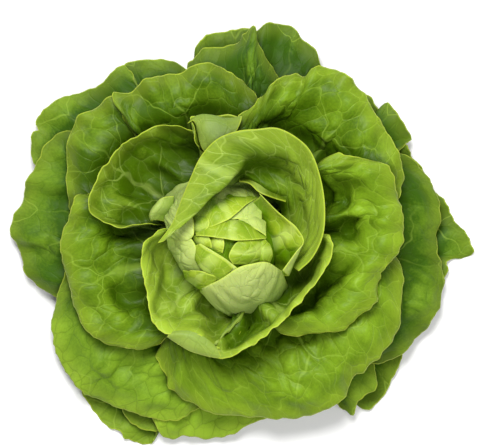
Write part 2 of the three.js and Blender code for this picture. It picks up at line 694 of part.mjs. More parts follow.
function addPart(name, geometry, colour) {
  const material = new THREE.MeshStandardMaterial({ color: colour, roughness: 0.5, metalness: 0 });
  const mesh = new THREE.Mesh(geometry, material);
  mesh.name = name;
  head.add(mesh);
}

const OUTER = 0x5f8f2e;
const MIDDLE = 0x6fa034;
const INNER = 0x8fb54a;
const PALE = 0xc3d48c;
const STEM = 0xe3dcc0;

function leafSteps(leaf) {
  // Wide leaves take more steps along the margin.
  const points = spline(leaf.outline, 60);
  let length = 0;
  for (let i = 1; i < points.length; i += 1) {
    length += Math.hypot(points[i][0] - points[i - 1][0], points[i][1] - points[i - 1][1]);
  }
  return clamp(Math.round(length / 19), 11, 19);
}

function addLeaves(pile) {
  LEAVES.forEach((leaf, index) => {
    const cells = pile.support();
    const fine = leafRays(leaf, index, cells, 160);
    const laid = [];
    for (const ray of fine) {
      for (let j = 0; j <= 80; j += 1) laid.push(leafPoint(leaf, index, cells, ray, j / 80));
    }
    const across = leafSteps(leaf);
    const rays = leafRays(leaf, index, cells, across);
    const grid = gridOf(across, RAY_STEPS.length - 1, (u, v) => {
      const ray = rays[Math.round(u * across)];
      const step = RAY_STEPS[Math.round(v * (RAY_STEPS.length - 1))];
      const { turn, reach, lift } = leafPoint(leaf, index, cells, ray, step);
      return place(turn, reach, lift);
    });
    const body = blade(grid, (u, v) => mix(ROOT_THICKNESS, BLADE_THICKNESS, Math.min(1, v * 1.6)));
    const tone = leaf.name.startsWith("outer") ? OUTER
      : leaf.name.startsWith("middle") ? MIDDLE
        : leaf.name.startsWith("cup") ? INNER : PALE;
    addPart(leaf.name, closedBody(outward(body)), tone);
    pile.lay(laid);
  });
}

function heartLeafPoint(leaf, cells, u, v) {
  const ray = heartRay(leaf, u);
  const x = mix(ray.from[0], ray.to[0], v);
  const y = mix(ray.from[1], ray.to[1], v);
  const lifted = leaf.layer - 1.2 * v ** 6;
  return ballPoint(cells, Math.min(Math.hypot(x, y), Math.PI), Math.atan2(y, x), lifted);
}

function addHeart(pile) {
  let heart = null;
  const fused = [];
  for (const leaf of HEART_LEAVES) {
    const cells = pile.support(4);
    leaf.margin = spline(leaf.outline, 160);
    const laid = [];
    for (let i = 0; i <= 160; i += 1) {
      for (let j = 0; j <= 60; j += 1) laid.push(heartLeafPoint(leaf, cells, i / 160, j / 60));
    }
    const across = leaf.fused ? 8 : 12;
    const deep = leaf.fused ? 4 : 7;
    leaf.margin = spline(leaf.outline, across);
    const grid = gridOf(across, deep, (u, v) => {
      const { turn, reach, lift } = heartLeafPoint(leaf, cells, u, v);
      return place(turn, reach, lift);
    });
    if (leaf.fused) {
      // Sunk into the ball, so that the two join without a hollow between them.
      const inner = { ...leaf, layer: HEART_BALL_LAYER + 3 };
      const sunk = gridOf(across, deep, (u, v) => {
        const { turn, reach, lift } = heartLeafPoint(inner, cells, u, v);
        return place(turn, reach, lift);
      });
      fused.push(solidOf(outward(slab(grid, sunk))));
    } else {
      addPart(leaf.name, closedBody(outward(blade(grid, () => HEART_THICKNESS))), PALE);
      pile.lay(laid);
    }
  }
  const cells = pile.support(4);
  const rings = 9;
  const sides = 16;
  const points = [];
  for (let i = 0; i <= rings; i += 1) {
    const polar = (Math.PI * i) / rings;
    const count = i === 0 || i === rings ? 1 : sides;
    for (let j = 0; j < count; j += 1) {
      const { turn, reach, lift } = ballPoint(cells, polar, (TAU * j) / sides, HEART_BALL_LAYER);
      points.push(place(turn, reach, lift));
    }
  }
  const faces = [];
  const at = (i, j) => (i === 0 ? 0 : i === rings ? points.length - 1
    : 1 + (i - 1) * sides + (j % sides));
  for (let i = 0; i < rings; i += 1) {
    for (let j = 0; j < sides; j += 1) {
      if (i > 0) faces.push([at(i, j), at(i, j + 1), at(i + 1, j)]);
      if (i < rings - 1) faces.push([at(i, j + 1), at(i + 1, j + 1), at(i + 1, j)]);
    }
  }
  heart = solidOf(outward({ points, faces }));
  for (const solid of fused) heart = heart.add(solid);
  // The outermost skin alone, which fills the small hollows left between the leaves.
  heart = heart.decompose().reduce((a, b) => (b.volume() > a.volume() ? b : a));
  addPart("heart", geometryOf(heart), PALE);
}

function addStem() {
  // A turned butt: flat cut face, a slight waist and a rounded top inside the ring of roots.
  const top = ROOT_REACH - STEM_CLEARANCE - ROOT_THICKNESS / 2;
  const profile = [[0, 0], [STEM_RADIUS - 0.8, 0], [STEM_RADIUS, 1.0], [STEM_RADIUS - 0.6, 6]];
  for (let i = 0; i <= 6; i += 1) {
    const angle = mix(-0.35, Math.PI / 2, i / 6);
    profile.push([RING_RADIUS + top * Math.cos(angle), RING_HEIGHT + top * Math.sin(angle)]);
  }
  profile.push([0, RING_HEIGHT + top]);
  const sides = 20;
  const points = [new THREE.Vector3(0, 0, 0)];
  const inner = profile.slice(1, -1);
  for (const [radius, height] of inner) {
    for (let j = 0; j < sides; j += 1) {
      const angle = (TAU * j) / sides;
      points.push(new THREE.Vector3(radius * Math.cos(angle), radius * Math.sin(angle), height));
    }
  }
  points.push(new THREE.Vector3(0, 0, profile.at(-1)[1]));
  const last = points.length - 1;
  const at = (i, j) => 1 + i * sides + (j % sides);
  const faces = [];
  for (let j = 0; j < sides; j += 1) {
    faces.push([0, at(0, j + 1), at(0, j)]);
    for (let i = 0; i < inner.length - 1; i += 1) {
      faces.push([at(i, j), at(i, j + 1), at(i + 1, j)]);
      faces.push([at(i, j + 1), at(i + 1, j + 1), at(i + 1, j)]);
    }
    faces.push([at(inner.length - 1, j), at(inner.length - 1, j + 1), last]);
  }
  addPart("stem", closedBody(outward({ points, faces })), STEM);
}

const pile = new Pile();
addStem();
addLeaves(pile);
addHeart(pile);

export default head;
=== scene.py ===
"""An open butterhead lettuce on a pale table, seen from straight above.

Every leaf is computed on a grid: rays run from its root on the stem to a margin drawn in plan,
and each leaf rests on the pile of leaves below it. The leaves of the heart are curled over a
ball, and a few free forms are drawn as rails. All sizes are in millimetres until a mesh is made,
which is in metres.
"""

import logging
import math
from dataclasses import dataclass, replace
from enum import Enum

import bpy
import numpy as np
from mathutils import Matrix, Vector

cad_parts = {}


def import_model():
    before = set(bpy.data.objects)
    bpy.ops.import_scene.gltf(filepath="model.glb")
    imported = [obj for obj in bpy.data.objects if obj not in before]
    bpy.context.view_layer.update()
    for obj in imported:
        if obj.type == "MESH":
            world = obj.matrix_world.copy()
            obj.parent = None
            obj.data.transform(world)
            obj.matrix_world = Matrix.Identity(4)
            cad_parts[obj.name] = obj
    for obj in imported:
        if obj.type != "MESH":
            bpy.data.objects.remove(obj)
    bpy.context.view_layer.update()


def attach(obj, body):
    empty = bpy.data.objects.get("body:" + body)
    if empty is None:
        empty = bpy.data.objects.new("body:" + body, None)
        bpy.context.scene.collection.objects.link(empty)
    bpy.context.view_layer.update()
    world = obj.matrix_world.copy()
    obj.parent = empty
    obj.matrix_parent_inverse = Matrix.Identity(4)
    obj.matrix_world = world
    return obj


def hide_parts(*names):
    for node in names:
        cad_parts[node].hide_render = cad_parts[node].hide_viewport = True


logging.basicConfig(level=logging.INFO, format="%(message)s")
LOG = logging.getLogger("lettuce")

MM = 0.001
TAU = 2.0 * math.pi
TINY = 1e-9

Curve = tuple[tuple[float, float, float], ...]
Colour = tuple[float, float, float]
Span = tuple[float, float]
Socket = bpy.types.NodeSocket
Value = Socket | float
Paint = Socket | Colour

# Plan of the head: the outlines are drawn in plan units, seen from above.
PLAN_SCALE = 0.62
PLAN_CENTRE = (235.0, 240.0)
CURVE_STEPS = 24

# The ring round the stem that the leaves fan out from, how far out their roots begin, and the
# steepest angle in radians at which a margin may stand.
RING_RADIUS = 4.0
RING_HEIGHT = 17.0
ROOT_REACH = 13.5
STEEPEST = 1.3

# The gap between blades at their roots and further out, the distance over which it grows, and
# how softly a blade comes to rest.
ROOT_GAP = 1.3
BLADE_GAP = 1.8
GAP_GROWTH = 25.0
CONTACT_SOFTNESS = 0.6

# Height at which the empty pile lies, and the least height of a finished blade.
PILE_FLOOR = -1.5
FLOOR_CLEARANCE = 0.5

# How a blade thins towards its edge: the share that is left, and how fast it grows back.
RIM_SHARE = 0.35
RIM_WIDTH = 1.5

# Waves of a margin: the share, pace and phase of each sine, and how they grow along the leaf.
WAVES = ((0.65, 1.0, 1.0), (0.35, 1.63, 2.1))
WAVE_PHASE = 1.7
WAVE_GROWTH = 3.5

# Creases start over this share of a leaf's length and lose this share of their depth by its end.
CREASE_START = 0.3
CREASE_FADE = 0.55

# Seeded ripples: number of sine waves, spread of their lengths, and what their sum is divided by.
RIPPLE_WAVES = 7
RIPPLE_SPREAD = (0.7, 1.5)
RIPPLE_SCALE = 3.2


class Ring(Enum):
    """The ring of the head that a leaf belongs to; its value names the ring's material."""

    OUTER = "outer_leaf"
    MIDDLE = "middle_leaf"
    CUP = "cup_leaf"
    HEART = "heart_leaf"


@dataclass(frozen=True)
class LeafPlan:
    """One leaf: where it grows, how it arches, and its margin seen from above.

    The creases are given by place across the leaf, depth in mm and width. The waist is the curve
    that bends the rays of a leaf that isn't laid out straight.
    """

    name: str
    azimuth: float
    half: float
    rise: float
    bow: float
    peak: float
    ruffle: float
    waves: float
    creases: tuple[tuple[float, float, float], ...]
    outline: Curve
    waist: Curve = ()


@dataclass(frozen=True)
class HeartPlan:
    """One leaf curled over the heart: plan points with their depth under the ball's surface.

    The blade runs from the foot curve, which other leaves hide, to the margin curve.
    """

    name: str
    foot: Curve
    margin: Curve
    bulge: float = 2.0
    grow: float = 1.0
    lip: float = 0.0
    underside: bool = False
    tone: float = 0.5
    node: str = "heart"


@dataclass(frozen=True)
class Tone:
    """How light a leaf is at its two sides, and the painted shade that makes it darker at its root
    and its middle.
    """

    first: float = 0.5
    last: float = 0.5
    drop: float = 0.55
    reach: float = 0.8
    dip: float = 0.0

    def over(self, u: np.ndarray, v: np.ndarray) -> np.ndarray:
        """Tone of each point of a leaf, rows across and columns along."""
        side = self.first + (self.last - self.first) * u - self.dip * 4.0 * u * (1.0 - u)
        return side[:, None] - self.drop * (1.0 - smoother(v / self.reach))[None, :]


@dataclass(frozen=True)
class RailPlan:
    """One leaf drawn as rails from its root to its margin, in plan units with heights in mm.

    Every rail has the same number of points.
    """

    name: str
    node: str
    ring: Ring
    rails: tuple[Curve, ...]
    tone: Tone
    underside: bool = False
    midrib: float = 0.5


@dataclass(frozen=True)
class LeafFinish:
    """Colours of the leaves of one ring, linear, among them the dark colour that paints shade in
    the pockets, and their gloss, relief and blisters.
    """

    deep: Colour
    bright: Colour
    under: Colour
    vein: Colour
    rim: Colour
    net: Colour
    # The dark colour painted as shade in the pockets, where the tone falls below zero.
    painted_pocket_shade: Colour
    roughness: float
    relief: float
    blister: float


@dataclass(frozen=True)
class StemFinish:
    """Colours of the stem's skin and of its browned cut face, linear, and their grain.

    Lengths are in metres: the height over which the cut face turns into skin, and the bumps.
    """

    skin: tuple[Colour, Colour]
    browned: tuple[Colour, Colour]
    cut: Span = (0.0005, 0.0022)
    patches: Span = (0.35, 0.65)
    pace: float = 90.0
    detail: float = 6.0
    bump: float = 0.0006
    relief: float = 0.6
    roughness: float = 0.5


@dataclass(frozen=True)
class Light:
    """A round area light that points at the lettuce, in metres and watts."""

    name: str
    place: tuple[float, float, float]
    size: float
    power: float
    glossy: bool


@dataclass(frozen=True)
class Ripple:
    """Seeded uneven ground: its height and wavelength in mm, and the seed of its first leaf."""

    height: float
    length: float
    seed: int

    def over(self, x: np.ndarray, y: np.ndarray, index: int) -> np.ndarray:
        """Height in mm at points in mm, for the leaf with this number."""
        return self.height * ripples(x, y, self.length, self.seed + index)


def rgb(red: int, green: int, blue: int) -> Colour:
    """Linear colour from the 0 to 255 values of a screen colour."""
    return tuple(((c / 255.0 + 0.055) / 1.055) ** 2.4 for c in (red, green, blue))


FINISHES: dict[Ring, LeafFinish] = {
    Ring.OUTER: LeafFinish(
        deep=rgb(52, 86, 4), bright=rgb(126, 160, 38), under=rgb(120, 146, 62),
        vein=rgb(142, 170, 62), rim=rgb(168, 182, 60), net=rgb(76, 108, 10), painted_pocket_shade=rgb(22, 40, 0),
        roughness=0.56, relief=0.7, blister=0.7,
    ),
    Ring.MIDDLE: LeafFinish(
        deep=rgb(58, 87, 0), bright=rgb(126, 160, 32), under=rgb(130, 156, 70),
        vein=rgb(150, 180, 66), rim=rgb(180, 196, 62), net=rgb(138, 168, 48), painted_pocket_shade=rgb(24, 39, 0),
        roughness=0.46, relief=0.8, blister=0.85,
    ),
    Ring.CUP: LeafFinish(
        deep=rgb(65, 94, 0), bright=rgb(144, 172, 50), under=rgb(148, 172, 84),
        vein=rgb(170, 194, 92), rim=rgb(178, 194, 62), net=rgb(170, 194, 92), painted_pocket_shade=rgb(20, 42, 0),
        roughness=0.44, relief=0.6, blister=0.6,
    ),
    Ring.HEART: LeafFinish(
        deep=rgb(92, 130, 2), bright=rgb(166, 186, 48), under=rgb(182, 198, 118),
        vein=rgb(190, 210, 112), rim=rgb(186, 204, 76), net=rgb(186, 206, 90),
        painted_pocket_shade=rgb(48, 78, 0),
        roughness=0.38, relief=0.6, blister=0.5,
    ),
}

STEM_FINISH = StemFinish(
    skin=(rgb(190, 200, 140), rgb(222, 220, 178)), browned=(rgb(176, 120, 74), rgb(222, 206, 160))
)

# A big soft light from the back left, and a fill from the front right.
LIGHTS = (
    Light("key", (-0.2, 0.85, 1.75), 0.9, 44.0, glossy=True),
    Light("fill", (0.5, -0.6, 1.9), 1.2, 20.0, glossy=False),
)

# Tones of the leaves that differ from a plain Tone(): partly their own colour, and partly painted
# shade where a leaf lies in the shade of others.
TONES: dict[str, Tone] = {
    "outer_leaf_back_right": Tone(0.15, 0.1),
    "outer_leaf_back_folded": Tone(0.15, 0.4),
    "outer_leaf_left_back": Tone(0.45, 0.5),
    "outer_leaf_back_left": Tone(0.45, 0.5),
    "outer_leaf_left": Tone(0.4, 0.35),
    "outer_leaf_right": Tone(0.35, 0.25),
    "outer_leaf_right_folded": Tone(0.2, 0.35),
    "outer_leaf_right_tail": Tone(0.35, 0.3),
    "outer_leaf_left_front": Tone(0.8, 0.9),
    "outer_leaf_front": Tone(1.5, 1.4),
    "outer_leaf_front_right_curled": Tone(0.6, 0.6),
    "middle_leaf_left_back": Tone(0.35, 0.2),
    "middle_leaf_left_front": Tone(0.35, 0.5),
    "middle_leaf_back": Tone(0.05, 0.4),
    "middle_leaf_front": Tone(0.75, 0.55),
    "middle_leaf_right": Tone(0.7, 0.75, 0.5),
    "middle_leaf_right_back": Tone(0.4, 0.55, 0.6),
    "cup_leaf_left": Tone(0.0, 0.55, 0.4, 1.0),
    "cup_leaf_left_front": Tone(1.55, 0.85, 0.45, 0.65),
    "cup_leaf_right_front": Tone(-0.2, 3.1, 1.9, 0.95),
}

# The leaves below the heart, from the lowest up.
LEAVES: tuple[LeafPlan, ...] = (
    LeafPlan(
        "outer_leaf_back_low", azimuth=100, half=24, rise=-22, bow=9, peak=0.6,
        ruffle=2.4, waves=5, creases=((0.5, 2.5, 0.07),),
        outline=(
            (250, 165, 14), (277, 100, 13), (268, 50, 7), (255, 30, 5), (240, 28, 4), (222, 31, 4),
            (205, 35, 4), (192, 55, 5), (196, 95, 11), (215, 155, 14),
        ),
    ),
    LeafPlan(
        "outer_leaf_front_left_low", azimuth=238, half=24, rise=-22, bow=9, peak=0.55,
        ruffle=2.6, waves=7, creases=((0.5, 2.5, 0.07),),
        outline=(
            (180, 275, 12), (120, 325, 11), (85, 370, 6), (80, 390, 3), (90, 408, 2),
            (105, 427, 2), (119, 433, 2), (126, 441, 2), (150, 446, 2), (157, 430, 3),
            (175, 395, 7), (205, 330, 12),
        ),
    ),
    LeafPlan(
        "outer_leaf_right_tail", azimuth=0, half=24, rise=-20, bow=9, peak=0.55,
        ruffle=2.0, waves=8, creases=((0.55, 3.0, 0.06),),
        outline=(
            (300, 285, 13), (370, 300, 11), (430, 290, 6), (448, 275, 5), (451, 260, 4),
            (472, 256, 2), (474, 246, 2), (467, 231, 2), (455, 220, 4), (447, 200, 5),
            (437, 192, 5), (425, 170, 7), (413, 155, 8), (402, 142, 11), (355, 135, 13),
            (295, 185, 14),
        ),
    ),
    LeafPlan(
        "outer_leaf_back_left", azimuth=115, half=24, rise=-18, bow=10, peak=0.6,
        ruffle=2.4, waves=6, creases=((0.5, 2.5, 0.07),),
        outline=(
            (230, 170, 14), (222, 115, 14), (205, 80, 12), (186, 68, 7), (176, 61, 6),
            (160, 58, 5), (140, 59, 5), (123, 64, 5), (108, 92, 7), (125, 140, 13), (190, 190, 14),
        ),
    ),
    LeafPlan(
        "outer_leaf_front_right_low", azimuth=315, half=22, rise=-18, bow=8, peak=0.6,
        ruffle=2.2, waves=6, creases=((0.5, 2.0, 0.07),),
        outline=(
            (265, 305, 14), (315, 360, 12), (345, 395, 6), (366, 411, 3), (378, 405, 2),
            (390, 388, 2), (398, 370, 4), (404, 353, 6), (395, 315, 12), (310, 262, 15),
        ),
    ),
    LeafPlan(
        "outer_leaf_front_left_small", azimuth=243, half=20, rise=-14, bow=8, peak=0.6,
        ruffle=2.0, waves=6, creases=((0.5, 2.0, 0.08),),
        outline=(
            (180, 285, 16), (140, 340, 14), (118, 385, 11), (120, 408, 9), (128, 422, 8),
            (140, 430, 8), (157, 432, 9), (180, 425, 10), (205, 380, 13), (217, 320, 16),
        ),
    ),
    LeafPlan(
        "outer_leaf_back_right", azimuth=75, half=24, rise=-12, bow=11, peak=0.62,
        ruffle=2.8, waves=6, creases=((0.48, 3.0, 0.06),),
        outline=(
            (290, 190, 18), (325, 130, 17), (335, 90, 14), (323, 66, 12), (316, 50, 10),
            (303, 38, 9), (292, 24, 8), (275, 22, 8), (260, 26, 10), (245, 45, 13), (235, 90, 17),
            (240, 160, 18),
        ),
    ),
    LeafPlan(
        "outer_leaf_right_folded", azimuth=38, half=20, rise=-12, bow=7, peak=0.6,
        ruffle=1.2, waves=7, creases=((0.46, -5.0, 0.05), (0.58, 4.0, 0.04),),
        outline=(
            (300, 215, 17), (370, 190, 17), (398, 152, 15), (409, 142, 12), (413, 136, 11),
            (403, 120, 14), (388, 101, 18), (383, 114, 13), (376, 102, 12), (365, 93, 12),
            (335, 105, 16), (280, 170, 18),
        ),
    ),
    LeafPlan(
        "outer_leaf_left_back", azimuth=143, half=26, rise=-10, bow=12, peak=0.62,
        ruffle=2.8, waves=8, creases=((0.42, 3.0, 0.05), (0.7, 2.0, 0.05),),
        outline=(
            (215, 185, 18), (170, 120, 18), (140, 90, 15), (124, 64, 15), (110, 71, 12),
            (98, 84, 11), (80, 91, 10), (60, 97, 9), (45, 107, 8), (35, 121, 8), (37, 130, 9),
            (31, 132, 8), (29, 147, 8), (33, 163, 10), (60, 190, 14), (120, 205, 17),
            (178, 222, 18),
        ),
    ),
    LeafPlan(
        "outer_leaf_front", azimuth=262, half=24, rise=-10, bow=11, peak=0.6,
        ruffle=2.4, waves=8, creases=((0.5, 2.5, 0.06),),
        outline=(
            (205, 300, 19), (165, 360, 18), (150, 405, 15), (158, 432, 12), (170, 441, 10),
            (185, 437, 9), (205, 441, 9), (222, 439, 9), (240, 432, 10), (255, 423, 12),
            (275, 412, 15), (288, 370, 18), (265, 305, 20),
        ),
    ),
    LeafPlan(
        "outer_leaf_front_right_curled", azimuth=300, half=20, rise=-8, bow=8, peak=0.62,
        ruffle=1.5, waves=7, creases=((0.4, 2.5, 0.06),),
        outline=(
            (245, 305, 19), (280, 350, 18), (315, 385, 15), (338, 405, 12), (353, 417, 9),
            (358, 404, 12), (368, 395, 16), (377, 390, 17), (376, 372, 17), (360, 335, 19),
            (292, 285, 20),
        ),
    ),
    LeafPlan(
        "outer_leaf_back_folded", azimuth=98, half=22, rise=-4, bow=9, peak=0.65,
        ruffle=1.5, waves=6, creases=((0.46, -7.0, 0.06), (0.58, 4.0, 0.07),),
        outline=(
            (268, 170, 22), (288, 120, 23), (278, 75, 23), (262, 50, 25), (255, 25, 26),
            (245, 33, 21), (232, 43, 18), (215, 47, 17), (204, 47, 17), (192, 58, 16),
            (186, 68, 17), (190, 100, 20), (215, 160, 22),
        ),
    ),
    LeafPlan(
        "outer_leaf_left", azimuth=176, half=28, rise=-4, bow=14, peak=0.62,
        ruffle=3.0, waves=9, creases=((0.47, 5.0, 0.05), (0.3, 2.0, 0.04), (0.66, 2.0, 0.04),),
        outline=(
            (185, 205, 20), (125, 155, 21), (75, 131, 18), (50, 138, 15), (35, 163, 13),
            (23, 187, 12), (20, 203, 12), (9, 222, 10), (10, 236, 10), (19, 252, 11),
            (22, 270, 11), (33, 284, 12), (57, 298, 14), (105, 300, 20), (170, 275, 21),
        ),
    ),
    LeafPlan(
        "outer_leaf_right", azimuth=348, half=28, rise=0, bow=14, peak=0.64,
        ruffle=2.8, waves=9, creases=((0.5, 3.0, 0.05),),
        outline=(
            (268, 295, 22), (320, 350, 22), (372, 364, 18), (398, 358, 14), (418, 340, 12),
            (437, 315, 11), (445, 290, 12), (444, 265, 13), (438, 250, 14), (441, 220, 14),
            (440, 200, 14), (427, 173, 16), (400, 152, 19), (350, 150, 22), (290, 200, 22),
        ),
    ),
    LeafPlan(
        "outer_leaf_left_front", azimuth=226, half=28, rise=2, bow=14, peak=0.64,
        ruffle=2.8, waves=9, creases=((0.56, 7.0, 0.05), (0.36, 3.0, 0.04), (0.7, 3.0, 0.035)),
        outline=(
            (185, 235, 24), (125, 240, 25), (75, 262, 24), (60, 285, 20), (54, 305, 18),
            (50, 328, 16), (54, 350, 15), (67, 377, 15), (85, 395, 16), (110, 407, 17),
            (140, 416, 18), (168, 422, 18), (190, 413, 20), (205, 400, 22), (222, 350, 25),
            (218, 290, 25),
        ),
    ),
    LeafPlan(
        "middle_leaf_left_back", azimuth=150, half=24, rise=-4, bow=12, peak=0.78,
        ruffle=2.6, waves=8, creases=((0.44, 4.5, 0.05), (0.62, 3.0, 0.04)),
        outline=(
            (205, 190, 26), (165, 130, 32), (135, 97, 32), (112, 95, 32), (95, 107, 30),
            (78, 117, 30), (69, 133, 29), (66, 152, 29), (66, 180, 30), (67, 200, 31),
            (72, 213, 31), (115, 225, 32), (182, 232, 27),
        ),
    ),
    LeafPlan(
        "middle_leaf_front", azimuth=292, half=30, rise=0, bow=18, peak=0.72,
        ruffle=3.0, waves=10,
        creases=((0.53, 5.5, 0.04), (0.3, 3.5, 0.04), (0.41, 3.0, 0.03), (0.66, 3.5, 0.035)),
        outline=(
            (195, 290, 27), (168, 330, 32), (157, 355, 34), (165, 375, 33), (175, 395, 32),
            (195, 405, 30), (220, 416, 28), (255, 418, 28), (295, 420, 28), (325, 411, 30),
            (345, 400, 31), (354, 378, 34), (372, 366, 33), (390, 345, 34), (401, 325, 35),
            (402, 300, 36), (403, 275, 37), (392, 252, 37), (335, 240, 32), (280, 265, 27),
        ),
    ),
    LeafPlan(
        "middle_leaf_left_front", azimuth=206, half=28, rise=-2, bow=13, peak=0.8,
        ruffle=2.6, waves=9, creases=((0.6, 6.0, 0.045), (0.35, 3.5, 0.04), (0.47, 3.0, 0.035)),
        outline=(
            (185, 218, 29), (130, 203, 38), (82, 193, 43), (70, 213, 43), (61, 240, 42),
            (61, 262, 41), (69, 290, 40), (77, 317, 40), (95, 338, 40), (120, 348, 40),
            (148, 349, 42), (168, 336, 42), (188, 300, 36), (203, 278, 29),
        ),
    ),
    LeafPlan(
        "middle_leaf_back", azimuth=108, half=26, rise=0, bow=12, peak=0.78,
        ruffle=2.8, waves=8, creases=((0.43, 6.0, 0.06),),
        outline=(
            (255, 180, 29), (268, 130, 38), (259, 100, 42), (248, 85, 42), (228, 71, 42),
            (210, 62, 43), (190, 66, 43), (178, 73, 42), (150, 77, 42), (130, 92, 42),
            (112, 95, 41), (135, 135, 38), (202, 195, 29),
        ),
    ),
    LeafPlan(
        "cup_leaf_left", azimuth=155, half=26, rise=4, bow=0, peak=0.75,
        ruffle=1.8, waves=8, creases=((0.5, 4.0, 0.08),),
        outline=(
            (212, 185, 31), (203, 145, 50), (187, 128, 62), (165, 126, 62), (140, 134, 60),
            (118, 150, 60), (100, 175, 60), (89, 200, 57), (95, 217, 56), (120, 226, 56),
            (148, 223, 54), (188, 228, 32),
        ),
    ),
    LeafPlan(
        "cup_leaf_back_small", azimuth=105, half=18, rise=18, bow=2, peak=0.75,
        ruffle=0.5, waves=5, creases=((0.5, 1.5, 0.1),),
        outline=(
            (243, 180, 33), (250, 140, 56), (240, 119, 62), (222, 115, 63), (205, 117, 64),
            (190, 117, 64), (195, 130, 62), (198, 146, 60), (203, 153, 55), (214, 182, 33),
        ),
    ),
    LeafPlan(
        "middle_leaf_right_back", azimuth=48, half=30, rise=2, bow=13, peak=0.8,
        ruffle=3.0, waves=10,
        creases=((0.67, 6.0, 0.045), (0.45, 4.0, 0.04), (0.3, 3.0, 0.035), (0.56, 2.5, 0.03)),
        outline=(
            (285, 232, 31), (345, 215, 42), (392, 205, 46), (403, 185, 47), (403, 165, 47),
            (396, 147, 47), (382, 123, 47), (365, 95, 48), (348, 76, 48), (325, 66, 49),
            (313, 68, 50), (304, 76, 48), (296, 73, 51), (280, 78, 52), (268, 88, 53),
            (255, 104, 55), (240, 117, 58), (228, 133, 60), (240, 178, 33),
        ),
    ),
    LeafPlan(
        "middle_leaf_right", azimuth=352, half=30, rise=2, bow=14, peak=0.82,
        ruffle=2.6, waves=9, creases=((0.45, 4.0, 0.045), (0.62, 4.0, 0.035), (0.28, 3.0, 0.035)),
        outline=(
            (255, 282, 33), (268, 325, 50), (295, 336, 52), (325, 332, 51), (340, 332, 50),
            (358, 318, 50), (376, 303, 50), (380, 285, 52), (383, 270, 54), (398, 254, 54),
            (404, 232, 55), (401, 205, 57), (394, 182, 60), (387, 165, 62), (360, 158, 64),
            (325, 158, 64), (288, 203, 34),
        ),
    ),
    LeafPlan(
        "cup_leaf_left_front", azimuth=218, half=32, rise=10, bow=4, peak=0.85,
        ruffle=1.0, waves=9, creases=((0.4, 1.5, 0.06), (0.7, 1.5, 0.05),),
        outline=(
            (198, 222, 37), (165, 228, 64), (150, 238, 74), (143, 247, 75), (142, 262, 74),
            (145, 282, 73), (148, 303, 72), (152, 319, 72), (160, 329, 72), (168, 334, 72),
            (182, 331.5, 72.5), (196, 334, 72.5), (207, 340, 71.5), (217, 349, 69),
            (228, 345, 64), (240, 332, 55), (246, 310, 44), (244, 296, 38),
        ),
    ),
    LeafPlan(
        "cup_leaf_right_front", azimuth=308, half=28, rise=8, bow=5, peak=0.84,
        ruffle=1.0, waves=9, creases=((0.3, 1.5, 0.05),),
        outline=(
            (240, 292, 37), (244, 308, 45), (240, 320, 53), (228, 332, 61), (218, 341, 67),
            (213, 349, 69), (221, 358, 72), (240, 351, 74), (262, 338, 75), (283, 320, 76),
            (300, 300, 77), (320, 278, 78), (331, 255, 78), (332, 241, 77), (320, 234, 70),
            (272, 250, 37),
        ),
        waist=(
            (244, 284, 36), (249, 304, 42), (245, 318, 50), (237, 327, 57), (246, 322, 57),
            (262, 310, 57), (276, 298, 57), (286, 286, 57), (296, 270, 57), (300, 256, 56),
            (298, 246, 52), (268, 252, 36),
        ),
    ),
)

